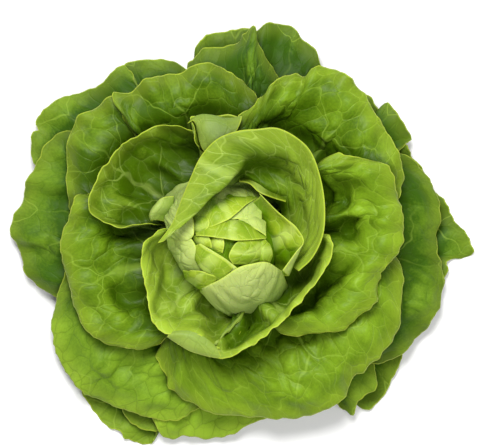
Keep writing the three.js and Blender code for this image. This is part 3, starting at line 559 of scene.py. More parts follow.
# The leaves curled over the heart.
HEART_LEAVES: tuple[HeartPlan, ...] = (
    HeartPlan(
        "heart_bud_pale", bulge=0.6, tone=0.75, underside=True,
        foot=((240, 236, 8), (236, 240, 8), (232, 246, 8), (228, 252, 8)),
        margin=((246, 240, 5.5), (242, 245, 5.2), (237, 251, 5.0), (232, 257, 5.5)),
    ),
    HeartPlan(
        "heart_bud_left", bulge=1.6, tone=0.7,
        foot=((193, 236, 8), (194, 240, 8), (197, 244, 8), (200, 247, 8)),
        margin=((199, 234, 6), (207, 234.5, 5), (211, 241, 5), (212, 248, 6.5)),
    ),
    HeartPlan(
        "heart_bud_middle", bulge=2.2, tone=0.8, lip=0.8,
        foot=((210, 238, 8), (210, 243, 8), (212, 248, 8), (218, 253, 8)),
        margin=((217, 236, 5.4), (223, 239, 4.4), (224, 246, 4.4), (222, 253, 6)),
    ),
    HeartPlan(
        "heart_lump_right", bulge=2.4, tone=0.45,
        foot=((259, 240, 7), (258, 247, 7), (258, 254, 7), (258, 262, 7)),
        margin=((265, 239, 4.6), (271, 246, 3.6), (273, 254, 3.6), (270, 263, 5)),
    ),
    HeartPlan(
        "heart_ball_leaf", bulge=3.2, tone=0.42, lip=1.0,
        foot=((262, 238, 6.5), (264, 247, 6.5), (262, 256, 6.5), (256, 266, 6.5)),
        margin=((245, 239, 4.4), (236, 243, 3.6), (231, 250, 3.2), (229, 257, 3.6), (233, 264, 5)),
    ),
    HeartPlan(
        "heart_slant_rib", bulge=0.8, tone=0.7, underside=True, lip=-0.6,
        foot=((197, 250, 6.5), (209, 259, 6.2), (221, 268, 6.2), (232, 276, 6.2)),
        margin=((200, 243, 4.4), (212, 250, 3.8), (225, 258, 3.8), (238, 268, 4.4)),
    ),
    HeartPlan(
        "heart_slant_leaf", bulge=1.8, tone=0.35, lip=0.8,
        foot=((193, 246, 6), (195, 258, 6), (203, 270, 6), (216, 281, 6), (224, 280, 6)),
        margin=(
            (199, 244, 3.6), (207, 250, 2.8), (217, 255, 2.6), (226, 261, 2.8), (233, 268, 3.8),
        ),
    ),
    HeartPlan(
        "heart_back_pale", bulge=1.4, tone=0.75, underside=True,
        foot=((224, 205, 6), (236, 202, 6), (248, 199, 6), (262, 196, 6)),
        margin=((226, 220, 4.4), (238, 219, 3.6), (250, 221, 3.6), (262, 229, 4.4)),
    ),
    HeartPlan(
        "heart_lens_back", bulge=0.8, tone=0.55, underside=True,
        foot=((236, 214, 5), (246, 214, 5), (256, 216, 5), (266, 222, 5)),
        margin=((240, 223, 3.8), (249, 226, 3.2), (257, 230, 3.2), (266, 236, 3.8)),
    ),
    HeartPlan(
        "heart_lens_leaf", bulge=2.2, tone=0.5, lip=1.2,
        foot=((195, 233, 5), (207, 226, 4.2), (222, 220, 3.6), (234, 219, 3.6), (247, 224, 3.8),
              (258, 231, 4.2), (267, 237, 5)),
        margin=((196, 235, 4.6), (207, 236, 3.2), (221, 238, 2.2), (235, 240, 2.0), (247, 240, 2.2),
                (258, 239, 3.2), (266, 238, 4.6)),
    ),
    HeartPlan(
        "heart_dome", bulge=2.6, tone=0.62, underside=True, grow=1.06,
        foot=((208, 190, 12), (219, 176, 14), (236, 170, 15), (252, 175, 14), (264, 192, 12)),
        margin=((217, 202, 6), (226, 205, 5.4), (237, 206, 5.4), (248, 205, 5.4), (259, 203, 6)),
    ),
    HeartPlan(
        "heart_dome_inner", bulge=1.4, tone=0.8, underside=True, grow=1.06,
        foot=((216, 197, 5.4), (224, 189, 4.6), (234, 186, 4.4), (246, 190, 4.6)),
        margin=((220, 203, 4.6), (228, 204, 4.2), (238, 204, 4.2), (249, 203, 4.6)),
    ),
    HeartPlan(
        "heart_leaf_top_curl", bulge=2.0, tone=0.3, lip=1.0, node="heart_leaf_top",
        foot=((193, 214, 5), (192, 222, 5.2), (193, 229, 5.4), (198, 234, 5.6)),
        margin=((205, 215, 3), (209, 220, 2), (208, 227, 2.2), (202, 232, 4)),
    ),
    HeartPlan(
        "heart_leaf_top_blade", bulge=1.8, tone=0.6, lip=0.6, node="heart_leaf_top",
        foot=((194, 213, 4), (202, 205, 3.2), (211, 198.5, 2.8), (220, 195, 2.6), (232, 195.5, 2.4),
              (244, 196.5, 2.4), (256, 195.5, 3)),
        margin=((206, 227, 3.4), (212, 226.5, 2.4), (220, 223.5, 1.6), (229, 219, 1.2),
                (238, 212, 1.0), (247, 204, 1.3), (258, 197.5, 2.8)),
    ),
    HeartPlan(
        "heart_leaf_left_low", bulge=2.2, tone=0.75, underside=True, grow=1.2, lip=-0.8,
        node="heart_leaf_left",
        foot=((166, 236, 12), (170, 250, 14), (178, 264, 16), (188, 276, 18), (198, 284, 19)),
        margin=((186, 232, 6), (194, 242, 5), (198, 252, 5), (203, 263, 6.4), (209, 273, 9)),
    ),
    HeartPlan(
        "heart_leaf_left_blade", bulge=3.0, tone=0.95, underside=True, grow=1.2, lip=-0.8,
        node="heart_leaf_left",
        foot=((200, 172, 10), (184, 172, 8), (171, 181, 7), (164, 195, 7), (162, 210, 7),
              (165, 224, 8), (171, 236, 9), (180, 242, 8)),
        margin=((203, 186, 9), (197, 194, 6.4), (193, 203, 5), (192, 213, 4.4), (194, 222, 3.8),
                (194.5, 229, 3.6), (193.5, 236, 4), (188, 241, 5.4)),
    ),
    HeartPlan(
        "heart_small_left", bulge=1.8, tone=0.45, lip=0.8, grow=1.1,
        foot=((183, 270, 10), (186, 280, 10), (196, 288, 10), (208, 292, 10)),
        margin=((191, 271, 7), (200, 271, 5.6), (209, 274, 5.2), (219, 277, 6)),
    ),
    HeartPlan(
        "heart_leaf_front_blade", bulge=3.4, tone=0.95, underside=True, grow=1.2, lip=-1.2,
        node="heart_leaf_front",
        foot=((200, 291, 16), (212, 304, 18), (226, 314, 20), (244, 320, 22), (262, 315, 22),
              (278, 303, 20), (288, 286, 18)),
        margin=((201.5, 287, 9), (212, 283, 6), (222, 278, 4), (238, 267.5, 2.2), (252, 263.5, 1.8),
                (267, 262, 2.6), (282, 271, 6.5)),
    ),
)

# Rails run from the root to the margin, and every rail has the same number of points.
RAIL_LEAVES: tuple[RailPlan, ...] = (
    RailPlan(
        "cup_leaf_arched_blade", "cup_leaf_arched", Ring.CUP, tone=Tone(2.1, 0.9, 0.35, dip=1.05),
        midrib=0.74,
        rails=(
            (
                (280, 252, 46), (281, 240, 46), (283, 227, 48), (282, 214, 50), (278, 204, 52),
                (272, 200, 54), (266, 197, 56), (260, 194, 57), (253, 189, 58), (247, 183, 60),
                (242, 179, 62), (230, 186, 70), (211, 191, 79), (198, 202, 83.5), (183, 219, 84.5),
                (165, 237, 85),
            ),
            (
                (285, 256, 52), (289, 244, 52), (293, 230, 54), (292, 214, 57), (288, 202, 62),
                (281, 193, 67), (273, 190, 69), (264, 186, 70), (255, 181, 71), (247, 176, 73),
                (241, 174, 75), (232, 181, 80), (216, 191, 85), (202, 203, 87), (186, 220, 87),
                (165, 238.5, 86),
            ),
            (
                (288, 260, 58), (296, 248, 58), (302, 232, 60), (302, 213, 63), (299, 197, 66),
                (291, 181, 67), (281, 174, 67), (269, 170, 67), (257, 168, 69), (247, 169, 73),
                (241, 171, 81), (234, 178, 87), (221, 190, 90), (206, 204, 90), (189, 221, 89),
                (165, 240, 87),
            ),
            (
                (291, 265, 64), (303, 252, 66), (311, 234, 69), (311, 211, 73), (308, 190, 77),
                (299, 170, 82), (288, 160, 86), (273, 155, 89), (258, 154, 91), (246, 158, 93),
                (239, 165, 93.5), (232, 174, 94), (220, 186, 94), (206, 201, 93), (189, 219, 91),
                (164, 241, 87.5),
            ),
            (
                (298, 271, 73), (312, 257, 79), (322, 235, 83), (324, 208, 86), (320, 180, 89),
                (311, 154, 92), (297, 139, 94), (277, 129, 95.5), (257, 130, 96.5),
                (237, 132, 96.5), (217, 140, 96), (201, 157, 94.5), (190, 180, 92.5),
                (180, 204, 90.5), (172, 224, 88.5), (158, 243, 85.5),
            ),
        ),
    ),
    RailPlan(
        "heart_leaf_right_blade", "heart_leaf_right", Ring.HEART, tone=Tone(0.7, 0.65, 0.3),
        rails=(
            (
                (246, 206, 60), (250, 214, 58), (252, 226, 56), (254, 238, 54), (257, 250, 52),
                (262, 262, 50), (268, 270, 50), (272, 276, 50),
            ),
            (
                (256, 200, 76), (262, 209, 74), (267, 221, 72), (271, 234, 70), (275, 246, 68),
                (281, 259, 65), (286, 268, 64), (287, 276, 63),
            ),
            (
                (260, 196, 83), (268, 206, 82), (277, 217, 81), (286, 228, 80), (293, 239, 79),
                (296, 252, 77), (293, 264, 75), (287, 275, 73),
            ),
            (
                (259, 194, 86), (267, 202, 86), (276, 211, 86), (287, 220, 85), (297, 229, 84),
                (303, 241, 83), (295, 252, 82), (282, 270, 80),
            ),
        ),
    ),
    RailPlan(
        "heart_back_fold", "heart", Ring.CUP, tone=Tone(0.2, 0.3, 0.5),
        rails=(
            ((240, 176, 58), (252, 171, 58), (265, 173, 58), (277, 181, 58), (287, 194, 56)),
            ((239, 178, 65), (251, 177, 65), (263, 181, 65), (274, 188, 64), (286, 198, 60)),
            ((239, 180, 69), (250, 181, 70), (261, 187, 70), (271, 193, 69), (286, 200, 63)),
            ((239, 181.5, 70), (250, 184, 72), (259, 192, 72), (270, 197, 71), (286, 202, 64)),
        ),
    ),
    RailPlan(
        "heart_left_curl", "heart_leaf_left", Ring.HEART, tone=Tone(0.45, 0.4, 0.3), underside=True,
        rails=(
            ((174, 196, 58), (173, 204, 58), (171, 213, 56), (170, 223, 54)),
            ((165, 197, 61), (161, 205, 62), (158, 212, 61), (159, 220, 57)),
            ((160, 200, 61), (155.5, 207, 61), (152, 214, 60), (152.5, 220, 57)),
            ((158.5, 203, 57), (154, 209, 57), (150.5, 216, 56), (152, 221.5, 54)),
            ((162, 206, 55), (158, 211, 55), (154.5, 216, 54), (155, 220, 52)),
        ),
    ),
    RailPlan(
        "cup_left_front_lip", "cup_leaf_left_front", Ring.CUP, tone=Tone(0.35, 0.35, 0.0),
        underside=True,
        rails=(
            ((169, 333, 71), (182, 330.5, 72), (196, 333, 72), (207, 339, 71), (217, 348, 69)),
            ((168.5, 334.5, 72), (181, 334, 73.5), (194, 338, 73.5), (206, 344, 72.5),
             (219, 351, 70)),
            ((168, 335.5, 71.5), (179, 338.5, 72.5), (191, 344, 72.5), (205, 350, 71.5),
             (221, 355, 69.5)),
            ((167.5, 336, 70.5), (177, 342.5, 70), (189, 349.5, 69.5), (205, 355, 69),
             (223, 358.5, 68.5)),
        ),
    ),
    RailPlan(
        "cup_back_small_flap", "cup_leaf_back_small", Ring.CUP, tone=Tone(0.2, 0.3, 0.2),
        underside=True,
        rails=(
            ((188, 124, 62), (196, 117, 64), (210, 116, 65), (226, 119, 66), (242, 117, 66)),
            ((193, 121, 65), (203, 121, 67), (216, 123, 69), (229, 125, 70), (241, 122, 69)),
            ((196, 124, 65), (202, 131, 68), (212, 137, 71), (224, 136, 72), (238, 129, 71)),
            ((198, 128, 63), (200, 142, 66), (206, 152, 69), (217, 146, 72), (235, 134, 72)),
        ),
    ),
)


def smoother(t: np.ndarray) -> np.ndarray:
    """Smooth step from 0 to 1: three t squared less two t cubed."""
    t = np.clip(t, 0.0, 1.0)
    return t * t * (3.0 - 2.0 * t)


def in_plan(points: Curve) -> np.ndarray:
    """Plan units to mm across and along the head; the third number is left as it is."""
    laid = np.array(points, float)
    laid[:, 0] = (laid[:, 0] - PLAN_CENTRE[0]) * PLAN_SCALE
    laid[:, 1] = (PLAN_CENTRE[1] - laid[:, 1]) * PLAN_SCALE
    return laid


def with_ends(points: np.ndarray) -> np.ndarray:
    """The knots of a curve with one more before and after, in line with its ends."""
    return np.concatenate([2 * points[:1] - points[1:2], points, 2 * points[-1:] - points[-2:-1]])


def between(knots: tuple[np.ndarray, ...], t: np.ndarray) -> np.ndarray:
    """Catmull-Rom curve at t, 0 to 1, between the second and third of four knots."""
    a, b, c, d = knots
    square = 2 * a - 5 * b + 4 * c - d
    cube = -a + 3 * b - 3 * c + d
    return 0.5 * (2 * b + (c - a) * t + square * t**2 + cube * t**3)


def even_curve(points: Curve, steps: int) -> np.ndarray:
    """Smooth curve through plan points, in steps of equal length in plan.

    Args:
        points: plan points, each with a height in mm.
        steps: number of steps.

    Returns:
        Array of steps + 1 points in mm.
    """
    laid = in_plan(points)
    knots = with_ends(laid)
    four = tuple(knots[k : len(knots) - 3 + k, None, :] for k in range(4))
    t = np.linspace(0.0, 1.0, CURVE_STEPS, endpoint=False)[None, :, None]
    fine = np.vstack([between(four, t).reshape(-1, 3), laid[-1:]])
    along = np.concatenate([[0.0], np.cumsum(np.hypot(*np.diff(fine[:, :2], axis=0).T))])
    target = np.linspace(0.0, along[-1], steps + 1)
    return np.stack([np.interp(target, along, fine[:, k]) for k in range(3)], axis=1)


def curve_through(points: np.ndarray, count: int) -> np.ndarray:
    """Smooth curve through knots, sampled evenly in its parameter.

    Args:
        points: knots, the first axis along the curve.
        count: number of steps.

    Returns:
        Array of count + 1 points along the first axis.
    """
    knots = with_ends(points)
    at = np.linspace(0.0, len(points) - 1.0, count + 1)
    k = np.minimum(at.astype(int), len(points) - 2)
    t = (at - k).reshape(-1, *([1] * (points.ndim - 1)))
    return between(tuple(knots[k + i] for i in range(4)), t)


def ripples(x: np.ndarray, y: np.ndarray, wavelength: float, seed: int) -> np.ndarray:
    """Smooth uneven ground between about -1 and 1: a few sine waves in seeded directions."""
    draw = np.random.default_rng(seed)
    total = np.zeros_like(x)
    for _ in range(RIPPLE_WAVES):
        way, phase = draw.uniform(0, TAU, 2)
        length = wavelength * draw.uniform(*RIPPLE_SPREAD)
        total += np.sin(TAU * (x * math.cos(way) + y * math.sin(way)) / length + phase)
    return total / RIPPLE_SCALE


class Pile:
    """How high the leaves laid so far stand, as an angle for each direction and reach.

    Reaches are in mm from the ring and angles in radians.
    """

    # Cells: numbers of directions and reaches, first reach, step, and a place in the last row.
    TURNS = 180
    REACHES = 66
    START = 10.0
    STEP = 2.5
    LAST = REACHES - 1.001

    # The angle of the empty pile within the hub, and outside the cells.
    HUB = 18.0
    HUB_LIFT = -1.2
    NOTHING = -9.0

    # How far the pile is widened in mm, and in cells at the most.
    WIDTH = 2.0
    MOST_CELLS = 9

    def __init__(self) -> None:
        """Start with only the surface that the head stands on."""
        self.reach = self.START + self.STEP * np.arange(self.REACHES)
        low = np.arcsin(np.clip((PILE_FLOOR - RING_HEIGHT) / self.reach, -1.0, 1.0))
        low = np.where(self.reach < self.HUB, self.HUB_LIFT, low)
        self.top = np.repeat(low[:, None], self.TURNS, axis=1)

    def support(self) -> np.ndarray:
        """The pile widened by WIDTH mm, then smoothed, so it never dips below itself."""
        padded = np.pad(self.top, ((1, 1), (0, 0)), constant_values=self.NOTHING)
        wide = np.max([padded[k : k + self.REACHES] for k in range(3)], axis=0)
        level = np.empty_like(wide)
        for row in range(self.REACHES):
            step = (RING_RADIUS + self.reach[row]) * TAU / self.TURNS
            n = int(np.clip(math.ceil(self.WIDTH / step), 1, self.MOST_CELLS))
            shifts = range(-n, n + 1)
            highest = np.max([np.roll(wide[row], s) for s in shifts], axis=0)
            level[row] = np.mean([np.roll(highest, s) for s in shifts], axis=0)
        edged = np.pad(level, ((2, 2), (0, 0)), mode="edge")
        return np.mean([edged[k : k + self.REACHES] for k in range(5)], axis=0)

    def lay(self, turn: np.ndarray, reach: np.ndarray, lift: np.ndarray) -> None:
        """Add the points of a leaf to the pile."""
        column = np.round(turn / TAU * self.TURNS).astype(int) % self.TURNS
        row = np.clip(np.round((reach - self.START) / self.STEP).astype(int), 0, self.REACHES - 1)
        np.maximum.at(self.top, (row.ravel(), column.ravel()), lift.ravel())

    @classmethod
    def read(cls, cells: np.ndarray, turn: np.ndarray, reach: np.ndarray) -> np.ndarray:
        """Height of the pile between its cells, by linear interpolation."""
        a = (turn / TAU * cls.TURNS) % cls.TURNS
        b = np.clip((reach - cls.START) / cls.STEP, 0.0, cls.LAST)
        column = np.floor(a).astype(int) % cls.TURNS
        after = (column + 1) % cls.TURNS
        row = np.floor(b).astype(int)
        fa, fb = a - np.floor(a), b - row
        low = cells[row, column] * (1 - fa) + cells[row, after] * fa
        high = cells[row + 1, column] * (1 - fa) + cells[row + 1, after] * fa
        return low * (1 - fb) + high * fb


def gap_at(reach: np.ndarray) -> np.ndarray:
    """Distance kept between blades, which grows from the root outwards."""
    grown = np.clip((reach - ROOT_REACH) / GAP_GROWTH, 0.0, 1.0)
    return ROOT_GAP + (BLADE_GAP - ROOT_GAP) * grown


def rest_on(cells: np.ndarray, turn: np.ndarray, reach: np.ndarray, lift: np.ndarray) -> np.ndarray:
    """Elevation of a blade that can't sink into the pile: a soft maximum of the two."""
    least = Pile.read(cells, turn, reach) + gap_at(reach) / reach
    return 0.5 * (lift + least + np.hypot(lift - least, CONTACT_SOFTNESS / reach))


def place(turn: np.ndarray, reach: np.ndarray, lift: np.ndarray) -> np.ndarray:
    """Points in mm from their direction, reach and elevation about the ring."""
    radius = RING_RADIUS + reach * np.cos(lift)
    height = RING_HEIGHT + reach * np.sin(lift)
    return np.stack([radius * np.cos(turn), radius * np.sin(turn), height], axis=-1)


def relief(plan: LeafPlan, index: int, u: np.ndarray, v: np.ndarray) -> np.ndarray:
    """Millimetres that a blade stands off its smooth form.

    An arch (sine of pi times a power of v), waves that grow towards the margin (two sines of u
    times a power of v), and creases (bell curves across u that fade towards the margin).
    """
    phase = index * WAVE_PHASE
    wave = sum(
        share * np.sin(TAU * pace * plan.waves * u + shift * phase) for share, pace, shift in WAVES
    )
    height = plan.bow * np.sin(np.pi * v ** (math.log(0.5) / math.log(plan.peak)))
    height = height + plan.ruffle * wave * v**WAVE_GROWTH
    for at, depth, width in plan.creases:
        run = smoother(v / CREASE_START) * (1.0 - CREASE_FADE * v * v)
        height = height - depth * np.exp(-(((u - at) / width) ** 2)) * run
    return height


class LeafShape:
    """The middle surface of one leaf, laid over a pile."""

    SETTLINGS = 3

    def __init__(self, plan: LeafPlan, index: int, cells: np.ndarray, across: int) -> None:
        """Work out the rays of the leaf: where each starts, bends and ends, laid out flat."""
        self.plan = plan
        self.index = index
        self.cells = cells
        self.u = np.linspace(0.0, 1.0, across + 1)
        x, y, z = even_curve(plan.outline, across).T
        turn, radius = np.arctan2(y, x), np.hypot(x, y)
        self.lift = np.arctan2(z - RING_HEIGHT, radius - RING_RADIUS)
        reach = np.hypot(z - RING_HEIGHT, radius - RING_RADIUS)
        rim = relief(plan, index, self.u, np.ones_like(self.u))
        for _ in range(self.SETTLINGS):
            raised = rest_on(cells, turn, reach, self.lift + rim / reach)
            reach = (radius - RING_RADIUS) / np.cos(np.minimum(raised, STEEPEST))
        azimuth = math.radians(plan.azimuth)
        side = 1.0 if math.sin(turn[0] - azimuth) > 0 else -1.0
        root = azimuth + side * (1.0 - 2.0 * self.u) * math.radians(plan.half)
        self.start = ROOT_REACH * np.stack([np.cos(root), np.sin(root)])
        self.end = reach * np.stack([np.cos(turn), np.sin(turn)])
        self.bend = (self.start + self.end) / 2.0
        if plan.waist:
            x, y, z = even_curve(plan.waist, across).T
            far = np.hypot(np.hypot(x, y) - RING_RADIUS, z - RING_HEIGHT)
            way = np.arctan2(y, x)
            self.bend = far * np.stack([np.cos(way), np.sin(way)])

    def points(self, v: np.ndarray) -> tuple[np.ndarray, np.ndarray, np.ndarray]:
        """Direction, reach and elevation over the whole leaf, at steps v along each ray.

        A ray is a parabola, laid out flat, from its start past its bend to its end.
        """
        w = 1.0 - v
        a, b, c = (p[:, :, None] for p in (self.start, self.bend, self.end))
        flat = w * w * a + 2.0 * v * w * b + v * v * c
        reach = np.maximum(np.hypot(*flat), ROOT_REACH)
        turn = np.arctan2(flat[1], flat[0])
        lift = math.radians(self.plan.rise) * w + self.lift[:, None] * v
        lift = lift + relief(self.plan, self.index, self.u[:, None], v[None, :]) / reach
        return turn, reach, rest_on(self.cells, turn, reach, lift)


@dataclass
class Blade:
    """The middle surface of a leaf as a grid of points in mm, rows across u and columns along v.

    Toward holds vectors that point to the upper side, scale is the size of the leaf's pattern,
    and midrib is the share of the way across at which the midrib runs.
    """

    points: np.ndarray
    toward: np.ndarray
    scale: float = 1.0
    midrib: float = 0.5

    def cross(self) -> np.ndarray:
        """Cross product of the two grid directions."""
        return np.cross(np.gradient(self.points, axis=0), np.gradient(self.points, axis=1))

    def normals(self) -> np.ndarray:
        """Unit normals that face the upper side."""
        n = self.cross()
        n /= np.maximum(np.linalg.norm(n, axis=2, keepdims=True), TINY)
        return n if np.sum(n * self.toward) > 0 else -n

    def outward(self) -> np.ndarray:
        """Unit vectors along the rays, towards the margin."""
        out = np.gradient(self.points, axis=1)
        return out / np.maximum(np.linalg.norm(out, axis=2, keepdims=True), TINY)

    def across(self) -> np.ndarray:
        """Distance along the surface from the midrib, in mm, less than zero on the first side."""
        steps = np.linalg.norm(np.diff(self.points, axis=0), axis=2)
        run = np.vstack([np.zeros(steps.shape[1]), np.cumsum(steps, axis=0)])
        return run - run[int(len(run) * self.midrib)]

    def along(self) -> np.ndarray:
        """Distance along each ray from the root, in mm."""
        steps = np.linalg.norm(np.diff(self.points, axis=1), axis=2)
        return np.hstack([np.zeros((len(steps), 1)), np.cumsum(steps, axis=1)])

    def edge(self) -> np.ndarray:
        """Distance in mm to the nearest free edge."""
        across, along = self.across(), self.along()
        side = np.minimum(across - across[:1], across[-1:] - across)
        return np.minimum(side, along[:, -1:] - along)

    def thinning(self) -> np.ndarray:
        """Share of the full thickness that each point has."""
        return np.clip(RIM_SHARE + self.edge() / RIM_WIDTH, RIM_SHARE, 1.0)

    def pattern(self, seed: int, tone: np.ndarray | float) -> tuple[np.ndarray, np.ndarray]:
        """The two attributes of the leaf pattern: distances with the seed, and edge with tone."""
        across, edge = self.across() / self.scale, self.edge()
        flat = np.stack([across, self.along() / self.scale, np.full_like(across, seed)], axis=-1)
        mark = np.stack([edge, np.zeros_like(edge), np.zeros_like(edge) + tone], axis=-1)
        return flat, mark

    def raised(self, height: np.ndarray) -> "Blade":
        """The same leaf with each point moved along its normal by a height in mm."""
        return replace(self, points=self.points + self.normals() * height[..., None])


@dataclass
class Piece:
    """One leaf, shaped and waiting for its mesh."""

    name: str
    node: str
    ring: Ring
    blade: Blade
    thickness: np.ndarray
    seed: int
    tone: np.ndarray


def store(mesh: bpy.types.Mesh, key: str, values: np.ndarray) -> None:
    """Put one vector for each point of a mesh into an attribute."""
    layer = mesh.attributes.new(key, "FLOAT_VECTOR", "POINT")
    layer.data.foreach_set("vector", values.astype(np.float32).ravel())


def mesh_object(name: str, points: np.ndarray, faces: np.ndarray) -> bpy.types.Object:
    """A smooth mesh of four-sided faces.

    Args:
        name: name of the piece.
        points: corners in mm.
        faces: four corner numbers for each face.

    Returns:
        The object, linked into the scene.
    """
    mesh = bpy.data.meshes.new(name)
    mesh.vertices.add(len(points))
    mesh.vertices.foreach_set("co", (points * MM).astype(np.float32).ravel())
    mesh.loops.add(faces.size)
    mesh.loops.foreach_set("vertex_index", faces.astype(np.int32).ravel())
    mesh.polygons.add(len(faces))
    mesh.polygons.foreach_set("loop_start", np.arange(0, faces.size, 4, dtype=np.int32))
    mesh.polygons.foreach_set("use_smooth", np.ones(len(faces), dtype=bool))
    mesh.update(calc_edges=True)
    mesh.validate()
    obj = bpy.data.objects.new(name, mesh)
    bpy.context.scene.collection.objects.link(obj)
    return obj


def grid_faces(index: np.ndarray) -> np.ndarray:
    """Four corners of every cell of a grid of point numbers, row by row."""
    corners = [index[:-1, :-1], index[1:, :-1], index[1:, 1:], index[:-1, 1:]]
    return np.stack(corners, axis=-1).reshape(-1, 4)


def shell(piece: Piece, tone: np.ndarray) -> bpy.types.Object:
    """A closed leaf: two faces half a thickness either side of the blade, joined round its edge.

    Args:
        piece: the leaf.
        tone: how light it is at each point.

    Returns:
        The object, with the attributes that its material reads.
    """
    blade = piece.blade
    rows, columns = blade.points.shape[:2]
    offset = blade.normals() * piece.thickness[..., None] / 2.0
    points = np.concatenate([blade.points + offset, blade.points - offset]).reshape(-1, 3)
    index = np.arange(rows * columns).reshape(rows, columns)
    upper = grid_faces(index)
    loop = np.concatenate([index[0, :], index[1:, -1], index[-1, -2::-1], index[-2:0:-1, 0]])
    after = np.roll(loop, -1)
    side = np.stack([loop, after, after + rows * columns, loop + rows * columns], axis=1)
    if np.sum(blade.cross() * blade.normals()) < 0:
        upper, side = upper[:, ::-1], side[:, ::-1]
    lower = upper[:, ::-1] + rows * columns
    obj = mesh_object(piece.name, points, np.concatenate([upper, lower, side]))
    flat, mark = blade.pattern(piece.seed, tone)
    lower_mark = mark.copy()
    lower_mark[..., 1] = 1.0
    store(obj.data, "flat", np.concatenate([flat, flat]))
    store(obj.data, "mark", np.concatenate([mark, lower_mark]))
    return obj


class Canopy:
    """The highest leaf over each spot of the plan, for how much sky a point sees.

    Sizes are in mm. Rises of less than CLEAR aren't counted. A point that sees a share OPEN of
    the sky or more isn't darkened, and DEPTH scales the tone that the others lose.
    """

    CELL = 1.5
    SIDE = 220
    CLEAR = 1.0
    OPEN = 0.78
    DEPTH = 1.0
    REACHES = (3.0, 6.0, 10.0, 15.0, 22.0, 32.0)
    DIRECTIONS = 12

    def __init__(self, pieces: list[Piece]) -> None:
        """Record the height of every leaf, widened by one cell to close its holes."""
        side = self.SIDE
        height = np.zeros((side, side))
        for piece in pieces:
            x, y, z = (piece.blade.points[..., k] for k in range(3))
            row, column = self.cell(x, y)
            np.maximum.at(height, (row.ravel(), column.ravel()), z.ravel())
        padded = np.pad(height, 1)
        shifts = [(i, j) for i in range(3) for j in range(3)]
        self.height = np.max([padded[i : i + side, j : j + side] for i, j in shifts], axis=0)

    @classmethod
    def cell(cls, x: np.ndarray, y: np.ndarray) -> tuple[np.ndarray, np.ndarray]:
        """Row and column of a place in mm."""
        at = (np.round(c / cls.CELL + cls.SIDE / 2).astype(int) for c in (x, y))
        row, column = (np.clip(c, 0, cls.SIDE - 1) for c in at)
        return row, column

    def shade(self, points: np.ndarray) -> np.ndarray:
        """How much darker each point is for the leaves that stand round it, 0 in the open.

        In each direction the sky is open above the steepest line to a leaf, by one over one
        plus the square of its slope.
        """
        x, y, z = points[..., 0], points[..., 1], points[..., 2]
        sky = np.zeros_like(z)
        for way in np.arange(self.DIRECTIONS) * TAU / self.DIRECTIONS:
            slope = np.zeros_like(z)
            for reach in self.REACHES:
                row, column = self.cell(x + reach * math.cos(way), y + reach * math.sin(way))
                rise = self.height[row, column] - z - self.CLEAR
                slope = np.maximum(slope, rise / reach)
            sky += 1.0 / (1.0 + slope**2)
        return self.DEPTH * np.maximum(self.OPEN - sky / self.DIRECTIONS, 0.0)


class Tree:
    """Short calls for wiring a node tree."""

    def __init__(self, tree: bpy.types.NodeTree) -> None:
        """Work on a node tree."""
        self.tree = tree

    def node(self, kind: str, inputs: dict | None = None, **settings) -> bpy.types.Node:
        """Add a node.

        Args:
            kind: type of the node.
            inputs: value or socket for each input, by name or number.
            settings: properties of the node.

        Returns:
            The node.
        """
        made = self.tree.nodes.new(kind)
        for key, value in settings.items():
            setattr(made, key, value)
        for key, value in (inputs or {}).items():
            if isinstance(value, Socket):
                self.tree.links.new(value, made.inputs[key])
            else:
                made.inputs[key].default_value = value
        return made

    def math(self, operation: str, a: Value, b: Value = 0.0, clamp: bool = False) -> Socket:
        """Result of a Math node on values or sockets."""
        made = self.node("ShaderNodeMath", {0: a, 1: b}, operation=operation, use_clamp=clamp)
        return made.outputs[0]

    def add_share(self, total: Value, value: Value, share: float, clamp: bool = False) -> Socket:
        """A total with a share of a value added."""
        return self.math("ADD", total, self.math("MULTIPLY", value, share), clamp=clamp)

    def vector(self, operation: str, a: Socket, b: Socket | Colour) -> Socket:
        """Result of a Vector Math node on vectors or sockets."""
        return self.node("ShaderNodeVectorMath", {0: a, 1: b}, operation=operation).outputs[0]

    def parts(self, vector: Socket) -> tuple[Socket, ...]:
        """The three numbers of a vector."""
        return tuple(self.node("ShaderNodeSeparateXYZ", {0: vector}).outputs)

    def noise(self, where: Socket, scale: float, detail: float) -> bpy.types.Node:
        """Noise at a place."""
        return self.node("ShaderNodeTexNoise", {"Vector": where, "Scale": scale, "Detail": detail})

    def ramp(self, value: Socket, over: Span, to: Span = (0.0, 1.0)) -> Socket:
        """Smooth change between two results as a value goes over a span."""
        made = self.node(
            "ShaderNodeMapRange",
            {0: value, 1: over[0], 2: over[1], 3: to[0], 4: to[1]},
            interpolation_type="SMOOTHSTEP",
        )
        return made.outputs[0]

    def mix(self, factor: Value, a: Paint, b: Paint) -> Socket:
        """Blend of two colours."""
        made = self.node("ShaderNodeMix", {0: factor}, data_type="RGBA")
        for key, value in ((6, a), (7, b)):
            if isinstance(value, Socket):
                self.tree.links.new(value, made.inputs[key])
            else:
                made.inputs[key].default_value = (*value, 1.0)
        return made.outputs[2]

    def mix_share(self, value: Socket, share: float, a: Paint, b: Paint) -> Socket:
        """Blend of two colours by a share of a value."""
        return self.mix(self.math("MULTIPLY", value, share), a, b)


